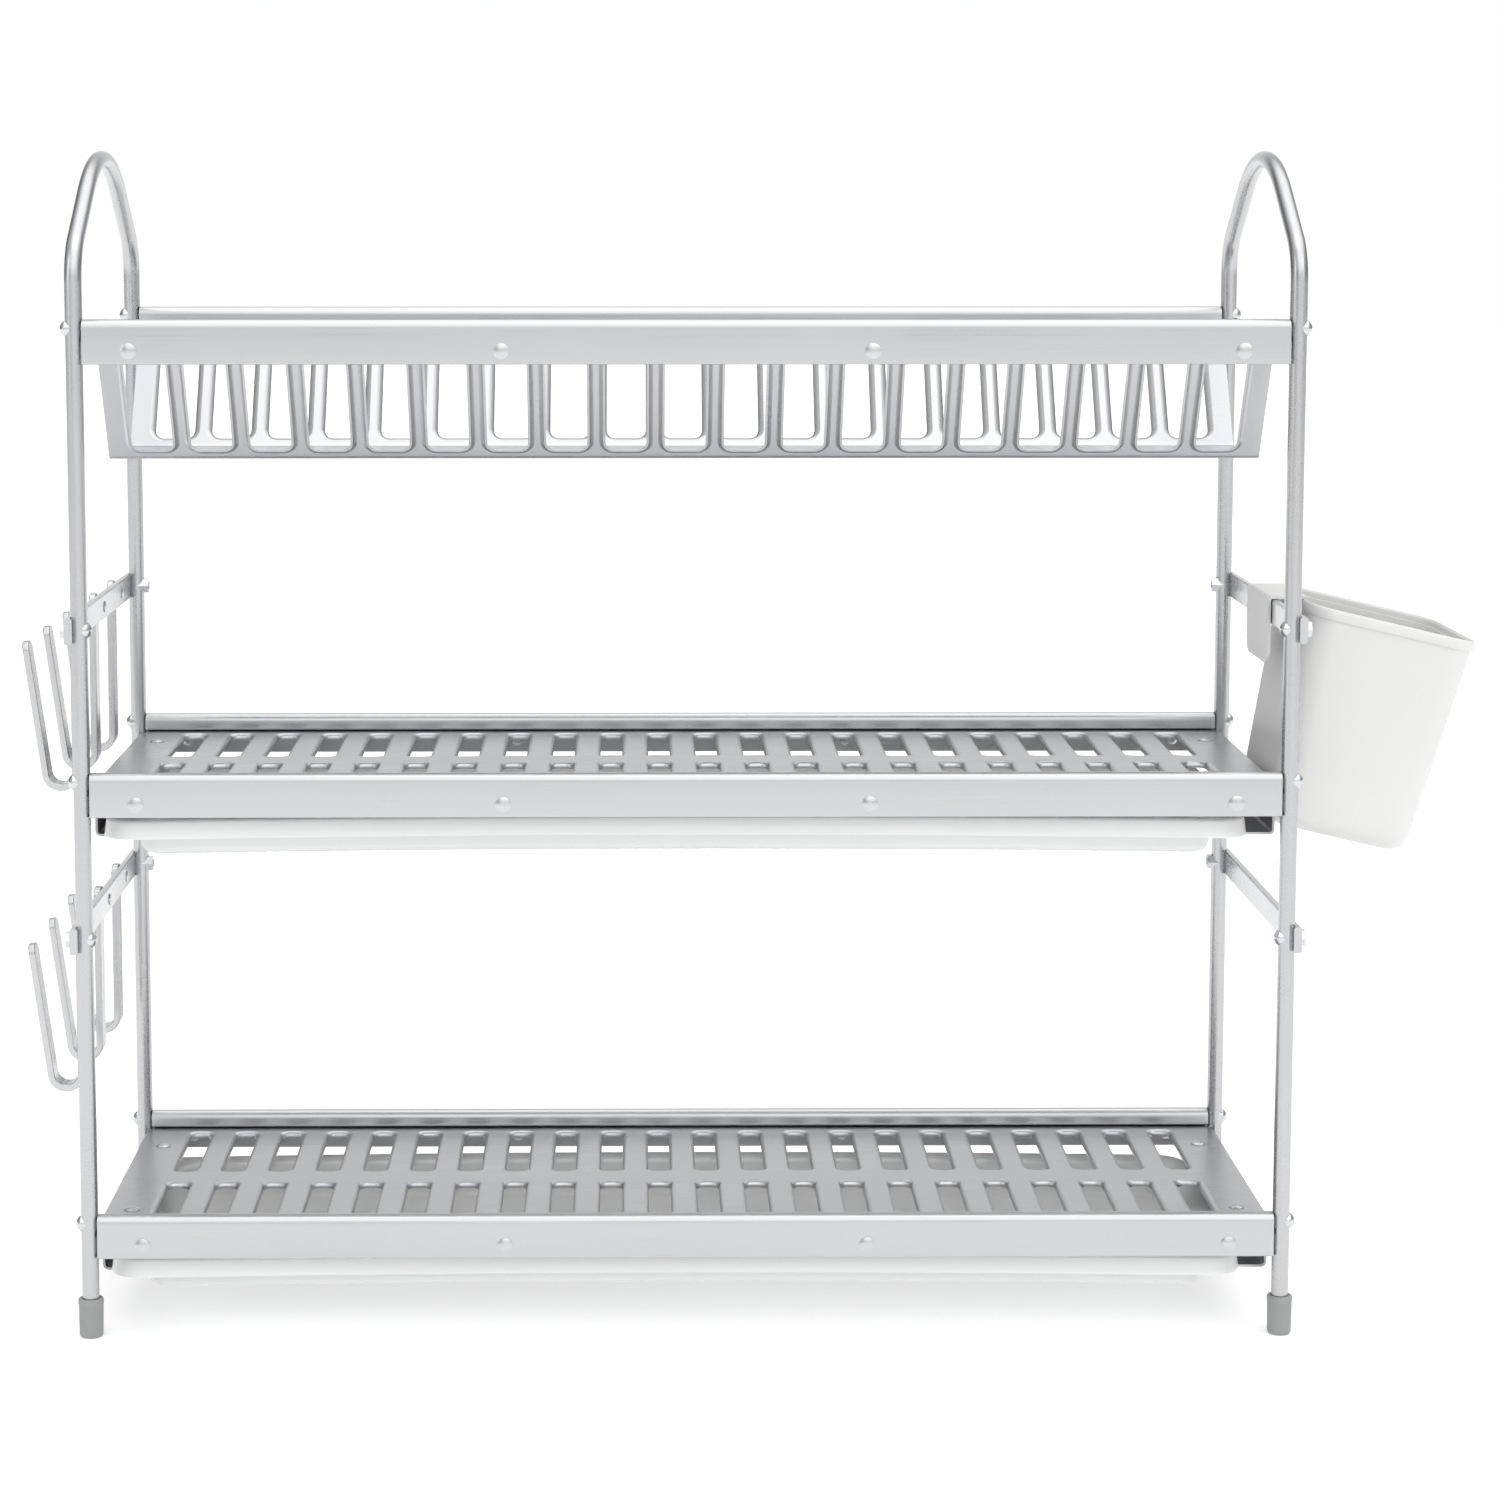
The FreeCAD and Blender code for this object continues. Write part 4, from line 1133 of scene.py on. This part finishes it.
class DISHRACK_OT_stage(bpy.types.Operator):
    """Set the pale floor, the soft lights and the camera"""
    bl_idname = "dishrack.stage"
    bl_label = "Stage"

    def execute(self, context):
        self.lay_floor()
        self.hang_lights()
        self.light_surroundings()
        self.place_camera()
        return {"FINISHED"}

    def lay_floor(self):
        bm = bmesh.new()
        bmesh.ops.create_circle(bm, cap_ends=True, segments=96, radius=14.0)
        mesh = bpy.data.meshes.new("studio_floor")
        bm.to_mesh(mesh)
        bm.free()
        mesh.materials.append(studio_floor())
        floor = bpy.data.objects.new("studio_floor", mesh)
        bpy.context.scene.collection.objects.link(floor)

    def hang_lights(self):
        lamps = (
            ("overhead_softbox", (0.0, -0.2, 2.2), (0.0, 0.0, 0.3), (1.8, 1.0), 3.0),
            ("left_softbox", (-1.6, -0.9, 1.1), (0.2, 0.0, 0.3), (0.8, 1.2), 4.0),
            ("right_softbox", (1.7, -1.2, 1.3), (0.0, 0.0, 0.3), (0.8, 1.2), 2.0),
        )
        for name, place, target, size, power in lamps:
            lamp = bpy.data.lights.new(name, "AREA")
            lamp.shape = "RECTANGLE"
            lamp.size, lamp.size_y = size
            lamp.energy = power
            lamp_object = bpy.data.objects.new(name, lamp)
            lamp_object.location = place
            aim = Vector(target) - Vector(place)
            lamp_object.rotation_euler = aim.to_track_quat("-Z", "Y").to_euler()
            bpy.context.scene.collection.objects.link(lamp_object)

    def light_surroundings(self):
        """White backdrop and a broad bright front right of the middle; grey cards at the sides."""
        world = bpy.data.worlds.new("Studio")
        world.use_nodes = True
        tree = world.node_tree
        tree.nodes.clear()
        direction = add_node(tree, "ShaderNodeTexCoord").outputs["Generated"]
        parts = add_node(tree, "ShaderNodeSeparateXYZ", {"Vector": direction}).outputs

        off_middle = add_node(
            tree, "ShaderNodeMath", {0: parts["X"], 1: 0.2}, operation="SUBTRACT"
        ).outputs["Value"]
        off_middle = add_node(
            tree, "ShaderNodeMath", {0: off_middle}, operation="ABSOLUTE"
        ).outputs["Value"]
        rearward = add_node(
            tree, "ShaderNodeMath", {0: parts["Z"], 1: -0.8, 2: parts["Y"]}, operation="MULTIPLY_ADD"
        ).outputs["Value"]
        upward = add_node(
            tree, "ShaderNodeMath", {0: parts["Y"], 1: -0.2, 2: parts["Z"]}, operation="MULTIPLY_ADD"
        ).outputs["Value"]
        # Light level of the front between the grey side cards, the back, the ceiling and the backdrop.
        bands = (
            (off_middle, (0.3, 0.8), (1.0, 0.42)),
            (rearward, (-0.1, 0.45), (1.0, 0.4)),
            (upward, (0.36, 0.66), (1.0, 1.8)),
            (parts["Y"], (0.8, 0.95), (0.0, 1.0)),
        )
        levels = [
            add_node(
                tree, "ShaderNodeMapRange",
                {"Value": value, "From Min": span[0], "From Max": span[1],
                 "To Min": reach[0], "To Max": reach[1]},
                interpolation_type="SMOOTHSTEP",
            ).outputs["Result"]
            for value, span, reach in bands
        ]
        strength = levels[0]
        for level, rule in zip(levels[1:], ("MULTIPLY", "MULTIPLY", "MAXIMUM")):
            strength = add_node(
                tree, "ShaderNodeMath", {0: strength, 1: level}, operation=rule
            ).outputs["Value"]
        light = add_node(
            tree, "ShaderNodeBackground", {"Color": (1, 1, 1, 1), "Strength": strength}
        )
        add_node(tree, "ShaderNodeOutputWorld", {"Surface": light.outputs["Background"]})
        bpy.context.scene.world = world

    def place_camera(self):
        eye = Vector((-0.0274, -1.7946, 0.5705))
        pitch = RIGHT_ANGLE - math.radians(6.13)
        yaw = math.radians(-0.48)
        lens = bpy.data.cameras.new("camera")
        lens.sensor_width = 36.0
        lens.lens = 82.9
        lens.shift_x = 0.06
        lens.shift_y = -0.12
        lens.clip_end = 60.0
        camera = bpy.data.objects.new("camera", lens)
        camera.location = eye
        camera.rotation_euler = (pitch, 0, yaw)
        bpy.context.scene.collection.objects.link(camera)
        bpy.context.scene.camera = camera
        bpy.context.scene.view_settings.view_transform = "Standard"


class DISHRACK_PT_panel(bpy.types.Panel):
    bl_idname = "DISHRACK_PT_panel"
    bl_label = "Dish drying rack"
    bl_space_type = "VIEW_3D"
    bl_region_type = "UI"
    bl_category = "Dish rack"

    def draw(self, context):
        for operator in OPERATORS:
            self.layout.operator(operator.bl_idname)
        for group in GROUPS:
            settings = getattr(context.scene, group)
            column = self.layout.column(align=True)
            for name in settings.bl_rna.properties.keys():
                if name not in ("rna_type", "name"):
                    column.prop(settings, name)


GROUPS = {
    "rack_frame": RackFrameSizes,
    "sheet_sizes": SheetSizes,
    "moulding_sizes": MouldingSizes,
    "rack_colours": RackColours,
}
OPERATORS = (
    DISHRACK_OT_side_frames, DISHRACK_OT_feet, DISHRACK_OT_rails, DISHRACK_OT_shelves,
    DISHRACK_OT_plate_rack, DISHRACK_OT_tray_guides, DISHRACK_OT_drip_trays, DISHRACK_OT_side_bars,
    DISHRACK_OT_mug_hooks, DISHRACK_OT_rivets, DISHRACK_OT_fasteners, DISHRACK_OT_cutlery_cup,
    DISHRACK_OT_stage,
)


def register():
    for item in (*GROUPS.values(), *OPERATORS, DISHRACK_PT_panel):
        bpy.utils.register_class(item)
    for name, group in GROUPS.items():
        setattr(bpy.types.Scene, name, PointerProperty(type=group))


def unregister():
    for name in GROUPS:
        delattr(bpy.types.Scene, name)
    for item in (DISHRACK_PT_panel, *reversed(OPERATORS), *GROUPS.values()):
        bpy.utils.unregister_class(item)


def main():
    register()
    for operator in OPERATORS:
        group, name = operator.bl_idname.split(".")
        getattr(getattr(bpy.ops, group), name)()


if __name__ == "__main__":
    main()
